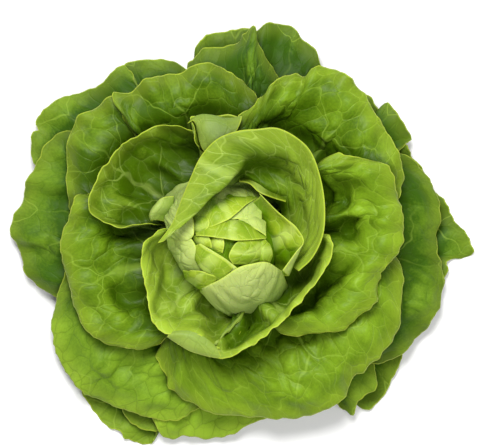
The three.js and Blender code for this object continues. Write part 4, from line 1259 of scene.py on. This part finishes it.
class LeafPattern:
    """Veins and blisters of a leaf, worked out alike for the mesh and for the material.

    Sizes are in mm on the leaf. A pair is the span over which a value changes smoothly, or a
    span and what the value becomes at its two ends.
    """

    # Net of veins: size of its cells, and how a noise sways it.
    CELL = 10.5
    FINE_CELL = 4.2
    RANDOMNESS = 0.9
    SEED_SHIFT = 71.3
    STRETCH = 0.8
    SWAY_PACE = 0.06
    SWAY_DETAIL = 1.0
    SWAY_MIDDLE = (0.5, 0.5, 0.5)
    SWAY = (16.0, 16.0, 0.0)

    # Side veins, which leave the midrib at a slant, and the midrib, as wide as RIB_WIDTH says.
    LATERAL = 30.0
    SLANT = 0.7
    SLANT_SHIFT = 600.0
    LATERAL_LINE = ((0.15, 0.75), (1.0, 0.0))
    LATERAL_FADE = ((4.0, 45.0), (0.9, 0.0))
    RIB_WIDTH = ((0.0, 90.0), (6.0, 0.7))
    RIB_LINE = ((0.3, 1.2), (1.0, 0.0))
    RIB_FADE = ((40.0, 115.0), (1.0, 0.2))

    # Where the leaf is blistered, and the domes between the veins.
    ZONE_PACE = 0.028
    ZONE_DETAIL = 1.0
    ZONE = ((0.42, 0.66), (0.12, 1.0))
    ZONE_EDGE = ((2.0, 18.0), (0.15, 1.0))
    DOME = (0.0, 3.6)
    SMALL_DOME = (0.0, 1.4)

    # Masks for the material, and the parts of its height.
    MOTTLE_PACE, MOTTLE_DETAIL = 0.045, 4.0
    GRAIN_PACE, GRAIN_DETAIL = 0.7, 3.0
    NET_MASK = ((0.1, 0.34), (1.0, 0.0))
    FINE_MASK = ((0.05, 0.3), (1.0, 0.0))
    TROUGH_MASK = ((0.3, 1.9), (1.0, 0.0))
    GROOVE = (0.0, 0.8)
    DOME_HEIGHT = 0.5
    GROOVE_HEIGHT = 0.22
    SMALL_HEIGHT = 0.14
    GRAIN_HEIGHT = 0.14

    # Height in mm of the blisters on the mesh, depth of its ribs, and the level that stays put.
    BLISTER = 1.15
    RIB_DEPTH = 0.5
    BLISTER_LEVEL = 0.5

    def __init__(self) -> None:
        """Build the shader group and the mesh group once."""
        self.group = self.shader_group()
        self.mesh_group = self.blister_group()

    def chain(self, tree: Tree, flat: Socket, mark: Socket) -> dict[str, Socket]:
        """The pattern in either kind of node tree.

        Args:
            tree: the tree to build in.
            flat: socket with the distances across and along the leaf in mm, and its seed.
            mark: socket with the distance to the edge in mm, the side and the tone.

        Returns:
            Named sockets of the pattern.
        """
        x, y, seed = tree.parts(flat)
        edge, under, tone = tree.parts(mark)
        shift = tree.math("MULTIPLY", seed, self.SEED_SHIFT)
        long = tree.math("MULTIPLY", y, self.STRETCH)
        shifted = {0: tree.math("ADD", x, shift), 1: tree.math("ADD", long, shift)}
        where = tree.node("ShaderNodeCombineXYZ", shifted).outputs[0]
        warp = tree.noise(where, self.SWAY_PACE, self.SWAY_DETAIL)
        sway = tree.vector("SUBTRACT", warp.outputs["Color"], self.SWAY_MIDDLE)
        bent = tree.vector("ADD", where, tree.vector("MULTIPLY", sway, self.SWAY))
        net = self.cells(tree, bent, self.CELL)
        fine = self.cells(tree, bent, self.FINE_CELL)
        bent_x, bent_y, _ = tree.parts(bent)
        away = tree.math("ABSOLUTE", tree.math("SUBTRACT", bent_x, shift))
        slant = tree.math("SUBTRACT", bent_y, shift)
        slant = tree.math("SUBTRACT", slant, tree.math("MULTIPLY", away, self.SLANT))
        slant = tree.math("ADD", slant, self.SLANT_SHIFT)
        turn = tree.math("PINGPONG", slant, self.LATERAL / 2.0)
        lateral = tree.ramp(turn, *self.LATERAL_LINE)
        lateral = tree.math("MULTIPLY", lateral, tree.ramp(away, *self.LATERAL_FADE))
        width = tree.ramp(y, *self.RIB_WIDTH)
        midrib = tree.ramp(tree.math("DIVIDE", away, width), *self.RIB_LINE)
        midrib = tree.math("MULTIPLY", midrib, tree.ramp(y, *self.RIB_FADE))
        zones = tree.noise(where, self.ZONE_PACE, self.ZONE_DETAIL)
        zone = tree.ramp(zones.outputs[0], *self.ZONE)
        zone = tree.math("MULTIPLY", zone, tree.ramp(edge, *self.ZONE_EDGE))
        dome = tree.math("MULTIPLY", tree.ramp(net, self.DOME), zone)
        small = tree.math("MULTIPLY", tree.ramp(fine, self.SMALL_DOME), zone)
        rib = tree.math("MAXIMUM", midrib, lateral)
        return {
            "Net": net, "Fine": fine, "Rib": rib, "Dome": dome, "Small": small, "Edge": edge,
            "Under": under, "Tone": tone, "Place": where,
        }

    def shader_group(self) -> bpy.types.NodeTree:
        """Node group with the masks and heights that the leaf materials use."""
        group = bpy.data.node_groups.new("leaf_pattern", "ShaderNodeTree")
        tree = Tree(group)
        flat, mark = (
            tree.node("ShaderNodeAttribute", attribute_name=key).outputs["Vector"]
            for key in ("flat", "mark")
        )
        found = self.chain(tree, flat, mark)
        mottle = tree.noise(found["Place"], self.MOTTLE_PACE, self.MOTTLE_DETAIL).outputs[0]
        grain = tree.noise(found["Place"], self.GRAIN_PACE, self.GRAIN_DETAIL).outputs[0]
        height = tree.math("MULTIPLY", found["Dome"], self.DOME_HEIGHT)
        height = tree.add_share(height, tree.ramp(found["Net"], self.GROOVE), self.GROOVE_HEIGHT)
        height = tree.add_share(height, found["Small"], self.SMALL_HEIGHT)
        height = tree.add_share(height, grain, self.GRAIN_HEIGHT)
        results = {
            "Net": tree.ramp(found["Net"], *self.NET_MASK),
            "Fine": tree.ramp(found["Fine"], *self.FINE_MASK),
            "Trough": tree.ramp(found["Net"], *self.TROUGH_MASK),
            "Height": height,
            "Mottle": mottle,
            "Grain": grain,
        }
        results |= {key: found[key] for key in ("Rib", "Dome", "Edge", "Under", "Tone")}
        for name in results:
            group.interface.new_socket(name, in_out="OUTPUT", socket_type="NodeSocketFloat")
        tree.node("NodeGroupOutput", results)
        return group

    def blister_group(self) -> bpy.types.NodeTree:
        """Node group that stores the height of the blisters, in mm, on the points of a mesh."""
        group = bpy.data.node_groups.new("leaf_blisters", "GeometryNodeTree")
        for side in ("INPUT", "OUTPUT"):
            group.interface.new_socket("Geometry", in_out=side, socket_type="NodeSocketGeometry")
        tree = Tree(group)
        start = tree.node("NodeGroupInput")
        kind = "GeometryNodeInputNamedAttribute"
        flat, mark = (
            tree.node(kind, {0: key}, data_type="FLOAT_VECTOR").outputs[0]
            for key in ("flat", "mark")
        )
        found = self.chain(tree, flat, mark)
        height = tree.math("MULTIPLY", found["Dome"], self.BLISTER)
        ribs = tree.math("MULTIPLY", found["Rib"], self.RIB_DEPTH)
        stored = tree.node(
            "GeometryNodeStoreNamedAttribute",
            {
                "Geometry": start.outputs[0],
                "Name": "blister",
                "Value": tree.math("SUBTRACT", height, ribs),
            },
            data_type="FLOAT",
            domain="POINT",
        )
        tree.node("NodeGroupOutput", {0: stored.outputs[0]})
        return group

    def blistered(self, blade: Blade, seed: int, amount: float) -> Blade:
        """The leaf with its blisters raised towards the upper side.

        Args:
            blade: the smooth middle surface.
            seed: number that shifts the pattern.
            amount: how much of the full height to use.

        Returns:
            The blistered surface.
        """
        flat, mark = blade.pattern(seed, 0.0)
        mesh = bpy.data.meshes.new("points")
        mesh.vertices.add(flat.shape[0] * flat.shape[1])
        store(mesh, "flat", flat)
        store(mesh, "mark", mark)
        obj = bpy.data.objects.new("points", mesh)
        bpy.context.scene.collection.objects.link(obj)
        obj.modifiers.new("blisters", "NODES").node_group = self.mesh_group
        graph = bpy.context.evaluated_depsgraph_get()
        height = np.empty(flat.shape[0] * flat.shape[1], np.float32)
        obj.evaluated_get(graph).data.attributes["blister"].data.foreach_get("value", height)
        bpy.data.objects.remove(obj)
        bpy.data.meshes.remove(mesh)
        return blade.raised((height.reshape(flat.shape[:2]) - self.BLISTER_LEVEL) * amount)

    @classmethod
    def cells(cls, tree: Tree, where: Socket, size: float) -> Socket:
        """Distance in mm to the nearest vein of a net with cells of one size."""
        made = tree.node(
            "ShaderNodeTexVoronoi",
            {"Vector": where, "Scale": 1.0 / size, "Randomness": cls.RANDOMNESS},
            feature="DISTANCE_TO_EDGE",
            voronoi_dimensions="2D",
        )
        return tree.math("MULTIPLY", made.outputs["Distance"], size)


class LeafMaterial:
    """Material of the leaves of one ring.

    A share is how much of a colour is mixed in. The pairs of pairs are the span over which a
    value changes smoothly, and what it becomes at the two ends.
    """

    # How light the upper side is, with a painted highlight on the blister domes.
    MOTTLE = ((0.3, 0.7), (0.24, 0.7))
    GRAIN = ((0.3, 0.7), (-0.07, 0.07))
    PAINTED_DOME_HIGHLIGHT = 0.18
    TONE_LEVEL = 0.6

    # The veins: how strong the net is where the leaf is mottled and where it is light.
    NET_BY_MOTTLE = ((0.35, 0.65), (0.5, 1.0))
    NET_BY_TONE = ((-0.1, 0.7), (0.1, 0.5))
    FINE_SHARE = 0.14
    TROUGH_SHARE = 0.26
    RIB_SHARE = 0.42

    # The underside.
    UNDER_TONE = 0.7
    UNDER_LEVEL = 0.45
    UNDER_NET_SHARE = 0.24
    UNDER_SHARE = 0.85

    # The pale margin, wide and faint and then narrow and strong, and the painted shade of the
    # pockets, where the tone falls below zero.
    WIDE_RIM = ((2.0, 14.0), (0.16, 0.0))
    NARROW_RIM = ((0.35, 1.0), (0.62, 0.0))
    PAINTED_POCKET_SHADE = ((-0.9, 0.1), (0.75, 0.0))

    ROUGHNESS_SPREAD = 0.12
    SUBSURFACE_WEIGHT = 0.12
    SUBSURFACE_RADIUS = (0.6, 1.0, 0.1)
    SUBSURFACE_SCALE = 0.002
    SPECULAR = 0.15

    def __init__(self, ring: Ring, finish: LeafFinish, pattern: LeafPattern) -> None:
        """Wire the pattern into a Principled shader with the ring's colours."""
        self.material = bpy.data.materials.new(ring.value)
        self.material.use_nodes = True
        self.finish = finish
        tree = Tree(self.material.node_tree)
        tree.tree.nodes.clear()
        marks = tree.node("ShaderNodeGroup", node_tree=pattern.group).outputs
        upper, under = self.upper(tree, marks), self.under(tree, marks)
        colour = tree.mix_share(marks["Under"], self.UNDER_SHARE, upper, under)
        colour = tree.mix(tree.ramp(marks["Edge"], *self.WIDE_RIM), colour, finish.rim)
        # Painted shade: the colour turns to the dark pocket colour where the tone, with the
        # canopy's painted shade taken off, falls below zero.
        colour = tree.mix(tree.ramp(marks["Tone"], *self.PAINTED_POCKET_SHADE), colour, finish.painted_pocket_shade)
        colour = tree.mix(tree.ramp(marks["Edge"], *self.NARROW_RIM), colour, finish.rim)
        bump = tree.node(
            "ShaderNodeBump",
            {"Strength": finish.relief, "Distance": MM, "Height": marks["Height"]},
        )
        least = finish.roughness - self.ROUGHNESS_SPREAD / 2.0
        shader = tree.node(
            "ShaderNodeBsdfPrincipled",
            {
                "Base Color": colour,
                "Roughness": tree.add_share(least, marks["Mottle"], self.ROUGHNESS_SPREAD),
                "Subsurface Weight": self.SUBSURFACE_WEIGHT,
                "Subsurface Radius": self.SUBSURFACE_RADIUS,
                "Subsurface Scale": self.SUBSURFACE_SCALE,
                "Specular IOR Level": self.SPECULAR,
                "Normal": bump.outputs[0],
            },
        )
        tree.node("ShaderNodeOutputMaterial", {"Surface": shader.outputs[0]})

    def upper(self, tree: Tree, marks: bpy.types.NodeOutputs) -> Socket:
        """Colour of the upper side: mottled, with a painted highlight on the blister domes, a pale
        net, its troughs and the ribs.
        """
        finish = self.finish
        light = tree.ramp(marks["Mottle"], *self.MOTTLE)
        # Painted highlight: the blister domes are made lighter.
        light = tree.add_share(light, marks["Dome"], self.PAINTED_DOME_HIGHLIGHT)
        light = tree.math("ADD", light, tree.ramp(marks["Grain"], *self.GRAIN))
        tone = tree.math("SUBTRACT", marks["Tone"], self.TONE_LEVEL)
        light = tree.math("ADD", light, tone, clamp=True)
        colour = tree.mix(light, finish.deep, finish.bright)
        colour = tree.mix_share(marks["Fine"], self.FINE_SHARE, colour, finish.deep)
        strong = tree.ramp(marks["Mottle"], *self.NET_BY_MOTTLE)
        strong = tree.math("MULTIPLY", strong, tree.ramp(marks["Tone"], *self.NET_BY_TONE))
        broad = tree.math("MULTIPLY", strong, self.TROUGH_SHARE)
        broad = tree.math("MULTIPLY", marks["Trough"], broad)
        colour = tree.mix(broad, colour, finish.net)
        colour = tree.mix(tree.math("MULTIPLY", marks["Net"], strong), colour, finish.net)
        return tree.mix_share(marks["Rib"], self.RIB_SHARE, colour, finish.vein)

    def under(self, tree: Tree, marks: bpy.types.NodeOutputs) -> Socket:
        """Colour of the underside: pale and dull, with a dark net."""
        finish = self.finish
        pale = tree.add_share(self.UNDER_LEVEL, marks["Tone"], self.UNDER_TONE, clamp=True)
        colour = tree.mix(pale, finish.deep, finish.under)
        colour = tree.mix_share(marks["Net"], self.UNDER_NET_SHARE, colour, finish.deep)
        return tree.mix_share(marks["Fine"], self.FINE_SHARE, colour, finish.deep)


def dress(
    obj: bpy.types.Object, ring: Ring, node: str, materials: dict[Ring, LeafMaterial]
) -> None:
    """Give a leaf its ring's material and body, and hide the node that it stands for."""
    obj.data.materials.append(materials[ring].material)
    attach(obj, "root")
    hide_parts(node)
    LOG.info("%s: %d points", obj.name, len(obj.data.vertices))


def mesh_pieces(pieces: list[Piece], materials: dict[Ring, LeafMaterial]) -> None:
    """Mesh and dress every leaf, off the floor, and darker where the others hide the sky."""
    canopy = Canopy(pieces)
    for piece in pieces:
        height = piece.blade.points[..., 2]
        height[:] = np.maximum(height, FLOOR_CLEARANCE)
        tone = piece.tone - canopy.shade(piece.blade.points)
        dress(shell(piece, tone), piece.ring, piece.node, materials)


class Leaves:
    """All the leaves below the heart, laid from the lowest up. Sizes are in mm."""

    # Thickness of a blade and of its root, and how fast the root thins.
    THICKNESS = 0.6
    ROOT_THICKNESS = 1.4
    ROOT_THINNING = 3

    # Steps of a blade: their size, fewest and most across and along, and how they crowd towards
    # the margin, where the leaf ruffles. A leaf's size is measured on a rough grid, and a coarse
    # grid goes on the pile.
    FINENESS = 1.9
    ACROSS = (60, 170)
    ALONG = (28, 64)
    CROWDING = 1.15
    ROUGH = (60, 8)
    COARSE = (160, 80)

    # Puckers of the blade, frill of the margin, and the bays that move the margin in and out.
    # The lengths are how far each of them reaches from the margin or keeps from the root.
    PUCKERS = Ripple(1.5, 24.0, 300)
    PUCKER_EDGE = 14.0
    PUCKER_ROOT = 30.0
    FRILL = Ripple(1.1, 15.0, 500)
    FRILL_STRETCH = 0.5
    FRILL_EDGE = 5.0
    FRILL_ROOT = 40.0
    BAYS = Ripple(0.55, 7.0, 700)
    BAY_EDGE = 3.0

    def grid(self, shape: LeafShape) -> tuple[int, int]:
        """Numbers of steps across and along a leaf, from its size."""
        rough = place(*shape.points(np.linspace(0.0, 1.0, self.ROUGH[1] + 1)))
        margin = np.linalg.norm(np.diff(rough[:, -1], axis=0), axis=1).sum()
        ray = np.linalg.norm(np.diff(rough[len(rough) // 2], axis=0), axis=1).sum()
        across = int(np.clip(margin / self.FINENESS, *self.ACROSS)) // 2 * 2
        return across, int(np.clip(ray / self.FINENESS, *self.ALONG))

    def build(self, pattern: LeafPattern) -> list[Piece]:
        """Lay every leaf on the pile of those below it.

        Args:
            pattern: the veins and blisters.

        Returns:
            The leaves, from the lowest up.
        """
        pile, pieces = Pile(), []
        for index, plan in enumerate(LEAVES):
            cells = pile.support()
            across, along = self.grid(LeafShape(plan, index, cells, self.ROUGH[0]))
            shape = LeafShape(plan, index, cells, across)
            v = 1.0 - (1.0 - np.linspace(0.0, 1.0, along + 1)) ** self.CROWDING
            turn, reach, lift = shape.points(v)
            up = [-np.sin(lift) * np.cos(turn), -np.sin(lift) * np.sin(turn), np.cos(lift)]
            blade = Blade(place(turn, reach, lift), np.stack(up, axis=-1))
            ring = Ring(f"{plan.name.split('_')[0]}_leaf")
            blade = pattern.blistered(self.ruffled(blade, index), index, FINISHES[ring].blister)
            root = (self.ROOT_THICKNESS - self.THICKNESS) * (1 - v) ** self.ROOT_THINNING
            thick = (self.THICKNESS + root)[None, :] * blade.thinning()
            tone = TONES.get(plan.name, Tone()).over(shape.u, v)
            name = f"{plan.name}_blade"
            pieces.append(Piece(name, plan.name, ring, blade, thick, index, tone))
            coarse = LeafShape(plan, index, cells, self.COARSE[0])
            pile.lay(*coarse.points(np.linspace(0.0, 1.0, self.COARSE[1] + 1)))
            LOG.info("%s: %d by %d steps", plan.name, across, along)
        return pieces

    @classmethod
    def ruffled(cls, blade: Blade, index: int) -> Blade:
        """Add the small puckers of the blade, the frill of its margin and its bays."""
        x, y, edge = blade.across(), blade.along(), blade.edge()
        fade = smoother(edge / cls.PUCKER_EDGE) * smoother(y / cls.PUCKER_ROOT)
        height = cls.PUCKERS.over(x, y, index) * fade
        fade = np.exp(-edge / cls.FRILL_EDGE) * smoother(y / cls.FRILL_ROOT)
        blade = blade.raised(height + cls.FRILL.over(x, y * cls.FRILL_STRETCH, index) * fade)
        margin = x[:, -1:]
        bays = cls.BAYS.over(margin, np.zeros_like(margin), index)
        bays = bays * np.exp(-edge / cls.BAY_EDGE)
        return replace(blade, points=blade.points + blade.outward() * bays[..., None])


class Heart:
    """The closed middle: leaves curled over a ball, the ball itself, and the rail leaves.

    Sizes are in mm.
    """

    # The ball: its middle, half sizes, height above and below its middle, and how deep the
    # closed core lies.
    CENTRE = (-4.0, -5.0, 58.0)
    HALF_WIDTH = 38.0
    HALF_DEPTH = 37.0
    RISE = 32.0
    DROP = 26.0
    LAYER = 8.0

    # Past this share of its half size the ball is drawn down in a straight line, this steep.
    # A ball grown by a share also sinks by GROWN_SINK times that share, so its top hardly rises.
    SHOULDER = 0.96
    SKIRT = 3.4
    GROWN_SINK = 30.0

    # Blades: thickness, steps, size of the pattern, and how they swell and curl their lip.
    THICKNESS = 0.8
    ACROSS = 90
    ALONG = 44
    PATTERN_SCALE = 0.62
    SWELL_ACROSS = 0.6
    SWELL_ALONG = 0.8
    LIP_START = 8
    UNDERSIDE_BLISTER = -0.6
    SEED = 40
    RUFFLE = Ripple(0.5, 16.0, 700)
    RUFFLE_EDGE = 6.0

    # Rail leaves: steps across, and the height of the point that their upper sides face.
    RAIL_ACROSS = 180
    RAIL_ABOVE = 160.0
    RAIL_SEED = 70
    RAIL_RUFFLE = Ripple(0.6, 20.0, 800)
    RAIL_RUFFLE_EDGE = 8.0

    # The core: sides, rings, the angle of its holes at the poles, and its attributes; its tone
    # below zero paints it with the dark pocket shade.
    CORE_SIDES = 120
    CORE_RINGS = 60
    CORE_HOLE = 0.002
    CORE_REACH = 30.0
    CORE_SEED = 60.0
    CORE_EDGE = 20.0
    CORE_SHADE_TONE = -0.3

    def ball_height(self, x: np.ndarray, y: np.ndarray, grow: float) -> np.ndarray:
        """Height in mm of the ball's upper surface, drawn down in a straight line past its rim."""
        across = (x - self.CENTRE[0]) / self.HALF_WIDTH
        along = (y - self.CENTRE[1]) / self.HALF_DEPTH
        far = np.hypot(across, along) / grow
        inside = np.sqrt(1.0 - np.minimum(far, self.SHOULDER) ** 2)
        beyond = np.maximum(far - self.SHOULDER, 0.0) * self.SKIRT
        sink = (grow - 1.0) * self.GROWN_SINK
        return self.CENTRE[2] + self.RISE * grow * (inside - beyond) - sink

    def leaf(self, plan: HeartPlan) -> Blade:
        """A leaf on the ball: straight runs from foot to margin, bulged, with a curled lip."""
        foot = curve_through(in_plan(plan.foot), self.ACROSS)
        margin = curve_through(in_plan(plan.margin), self.ACROSS)
        v = np.linspace(0.0, 1.0, self.ALONG + 1)[None, :]
        u = np.linspace(0.0, 1.0, self.ACROSS + 1)[:, None]
        laid = foot[:, None, :] * (1.0 - v[..., None]) + margin[:, None, :] * v[..., None]
        x, y, depth = laid[..., 0], laid[..., 1], laid[..., 2]
        swell = np.maximum(np.sin(np.pi * u), 0.0) ** self.SWELL_ACROSS
        swell = plan.bulge * swell * np.sin(np.pi * v**self.SWELL_ALONG)
        z = self.ball_height(x, y, plan.grow) - depth + swell + plan.lip * v**self.LIP_START
        points = np.stack([x, y, z], axis=-1)
        toward = points - np.array(self.CENTRE)
        return Blade(points, -toward if plan.underside else toward, self.PATTERN_SCALE)

    def rail_leaf(self, plan: RailPlan) -> Blade:
        """A leaf through its rails."""
        rails = np.stack([in_plan(rail) for rail in plan.rails])
        along = curve_through(rails, self.ALONG).transpose(1, 0, 2)
        points = curve_through(along, self.RAIL_ACROSS)
        above = np.array([*self.CENTRE[:2], self.RAIL_ABOVE]) - points
        return Blade(points, -above if plan.underside else above, midrib=plan.midrib)

    def build(self, pattern: LeafPattern) -> list[Piece]:
        """Curl the leaves over the ball and wrap it."""
        pieces = []
        full = FINISHES[Ring.HEART].blister
        for index, plan in enumerate(HEART_LEAVES):
            blade = self.rippled(self.leaf(plan), self.RUFFLE, self.RUFFLE_EDGE, index)
            amount = self.UNDERSIDE_BLISTER * full if plan.underside else full
            blade = pattern.blistered(blade, self.SEED + index, amount)
            tone = np.full(blade.points.shape[:2], plan.tone)
            pieces.append(self.piece(plan, Ring.HEART, blade, self.SEED + index, tone))
        for index, plan in enumerate(RAIL_LEAVES):
            blade = self.rail_leaf(plan)
            tone = plan.tone.over(*(np.linspace(0.0, 1.0, n) for n in blade.points.shape[:2]))
            blade = self.rippled(blade, self.RAIL_RUFFLE, self.RAIL_RUFFLE_EDGE, index)
            seed = self.RAIL_SEED + index
            blade = pattern.blistered(blade, seed, FINISHES[plan.ring].blister)
            pieces.append(self.piece(plan, plan.ring, blade, seed, tone))
        return pieces

    @staticmethod
    def rippled(blade: Blade, ripple: Ripple, edge: float, index: int) -> Blade:
        """The leaf with seeded uneven ground that fades within a distance of its edge."""
        height = ripple.over(blade.across(), blade.along(), index)
        return blade.raised(height * smoother(blade.edge() / edge))

    def piece(
        self, plan: HeartPlan | RailPlan, ring: Ring, blade: Blade, seed: int, tone: np.ndarray
    ) -> Piece:
        """One leaf with its thickness, thinner at its margin."""
        thick = self.THICKNESS * blade.thinning()
        return Piece(plan.name, plan.node, ring, blade, thick, seed, tone)

    def build_core(self, materials: dict[Ring, LeafMaterial]) -> None:
        """The plain ball under the smallest leaves, with a pinhole at each pole."""
        sides, rings = self.CORE_SIDES, self.CORE_RINGS
        polar = np.linspace(self.CORE_HOLE, math.pi - self.CORE_HOLE, rings + 1)[None, :]
        way = np.linspace(0.0, TAU, sides + 1)[:-1, None]
        way, polar = np.broadcast_arrays(way, polar)
        shrink = 1.0 - self.LAYER / self.HALF_WIDTH
        high = -np.cos(polar)
        round_ball = [np.sin(polar) * np.cos(way), np.sin(polar) * np.sin(way), high]
        rise = np.where(high > 0, self.RISE, self.DROP)
        sizes = (self.HALF_WIDTH * shrink, self.HALF_DEPTH * shrink, rise * shrink)
        points = [c + size * at for c, size, at in zip(self.CENTRE, sizes, round_ball)]
        index = np.arange((rings + 1) * sides).reshape(sides, rings + 1)
        faces = grid_faces(np.vstack([index, index[:1]]))[:, ::-1]
        obj = mesh_object("heart_core", np.stack(points, axis=-1).reshape(-1, 3), faces)
        flat = [way * self.CORE_REACH, polar * self.CORE_REACH, np.full(way.shape, self.CORE_SEED)]
        mark = [np.full(way.shape, value) for value in (self.CORE_EDGE, 0.0, self.CORE_SHADE_TONE)]
        store(obj.data, "flat", np.stack(flat, axis=-1))
        store(obj.data, "mark", np.stack(mark, axis=-1))
        dress(obj, Ring.HEART, "heart", materials)


@dataclass
class Studio:
    """Floor, light and camera, in metres."""

    distance: float = 6.0
    frame_width: float = 0.297
    aim: tuple[float, float] = (0.0028, 0.0105)
    level: float = 0.045
    sensor_mm: float = 36.0
    farthest: float = 20.0
    floor_half: float = 4.0
    floor_colour: Colour = (0.93, 0.93, 0.92)
    floor_roughness: float = 0.9
    sky: float = 0.26

    def build(self) -> None:
        """Place everything that isn't the lettuce."""
        scene = bpy.context.scene
        scene.view_settings.view_transform = "Standard"
        self.floor()
        for light in LIGHTS:
            self.hang(scene, light)
        world = bpy.data.worlds.new("sky")
        world.use_nodes = True
        background = world.node_tree.nodes["Background"]
        background.inputs["Color"].default_value = (1.0, 1.0, 1.0, 1.0)
        background.inputs["Strength"].default_value = self.sky
        scene.world = world
        self.camera(scene)

    def camera(self, scene: bpy.types.Scene) -> None:
        """A camera straight above, with a lens that frames the head at its middle level."""
        data = bpy.data.cameras.new("camera")
        data.sensor_width = self.sensor_mm
        data.lens = self.sensor_mm * (self.distance - self.level) / self.frame_width
        data.clip_end = self.farthest
        camera = bpy.data.objects.new("camera", data)
        camera.location = (*self.aim, self.distance)
        scene.collection.objects.link(camera)
        scene.camera = camera
        LOG.info("camera %.0f mm lens at %.1f m", data.lens, self.distance)

    def floor(self) -> None:
        """A large plain pale floor."""
        size = self.floor_half / MM
        corners = np.array([[-size, -size, 0], [size, -size, 0], [size, size, 0], [-size, size, 0]])
        floor = mesh_object("floor", corners, np.array([[0, 1, 2, 3]]))
        material = bpy.data.materials.new("pale_floor")
        material.use_nodes = True
        shader = material.node_tree.nodes["Principled BSDF"]
        shader.inputs["Base Color"].default_value = (*self.floor_colour, 1.0)
        shader.inputs["Roughness"].default_value = self.floor_roughness
        floor.data.materials.append(material)

    @staticmethod
    def hang(scene: bpy.types.Scene, light: Light) -> None:
        """Add a round area light that points at the lettuce."""
        data = bpy.data.lights.new(light.name, "AREA")
        data.shape = "DISK"
        data.size = light.size
        data.energy = light.power
        obj = bpy.data.objects.new(light.name, data)
        obj.location = light.place
        obj.rotation_mode = "QUATERNION"
        obj.rotation_quaternion = (-Vector(light.place)).to_track_quat("-Z", "Y")
        obj.visible_glossy = light.glossy
        scene.collection.objects.link(obj)


def dress_stem(finish: StemFinish) -> None:
    """Give the stem its green skin and, low down, its browned cut face."""
    material = bpy.data.materials.new("stem")
    material.use_nodes = True
    tree = Tree(material.node_tree)
    tree.tree.nodes.clear()
    where = tree.node("ShaderNodeTexCoord").outputs["Object"]
    grain = tree.noise(where, finish.pace, finish.detail).outputs[0]
    cut = tree.ramp(tree.parts(where)[2], finish.cut, (1.0, 0.0))
    skin = tree.mix(grain, *finish.skin)
    browned = tree.mix(tree.ramp(grain, finish.patches), *finish.browned)
    bump = tree.node(
        "ShaderNodeBump",
        {"Strength": finish.relief, "Distance": finish.bump, "Height": grain},
    )
    shader = tree.node(
        "ShaderNodeBsdfPrincipled",
        {
            "Base Color": tree.mix(cut, skin, browned),
            "Roughness": finish.roughness,
            "Normal": bump.outputs[0],
        },
    )
    tree.node("ShaderNodeOutputMaterial", {"Surface": shader.outputs[0]})
    stem = bpy.data.objects["stem"]
    stem.data.materials.clear()
    stem.data.materials.append(material)


def main() -> None:
    """Build the lettuce round its frame, and the studio it stands in."""
    Studio().build()
    pattern = LeafPattern()
    materials = {ring: LeafMaterial(ring, finish, pattern) for ring, finish in FINISHES.items()}
    dress_stem(STEM_FINISH)
    heart = Heart()
    mesh_pieces(Leaves().build(pattern) + heart.build(pattern), materials)
    heart.build_core(materials)


if __name__ == "__main__":
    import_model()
    main()
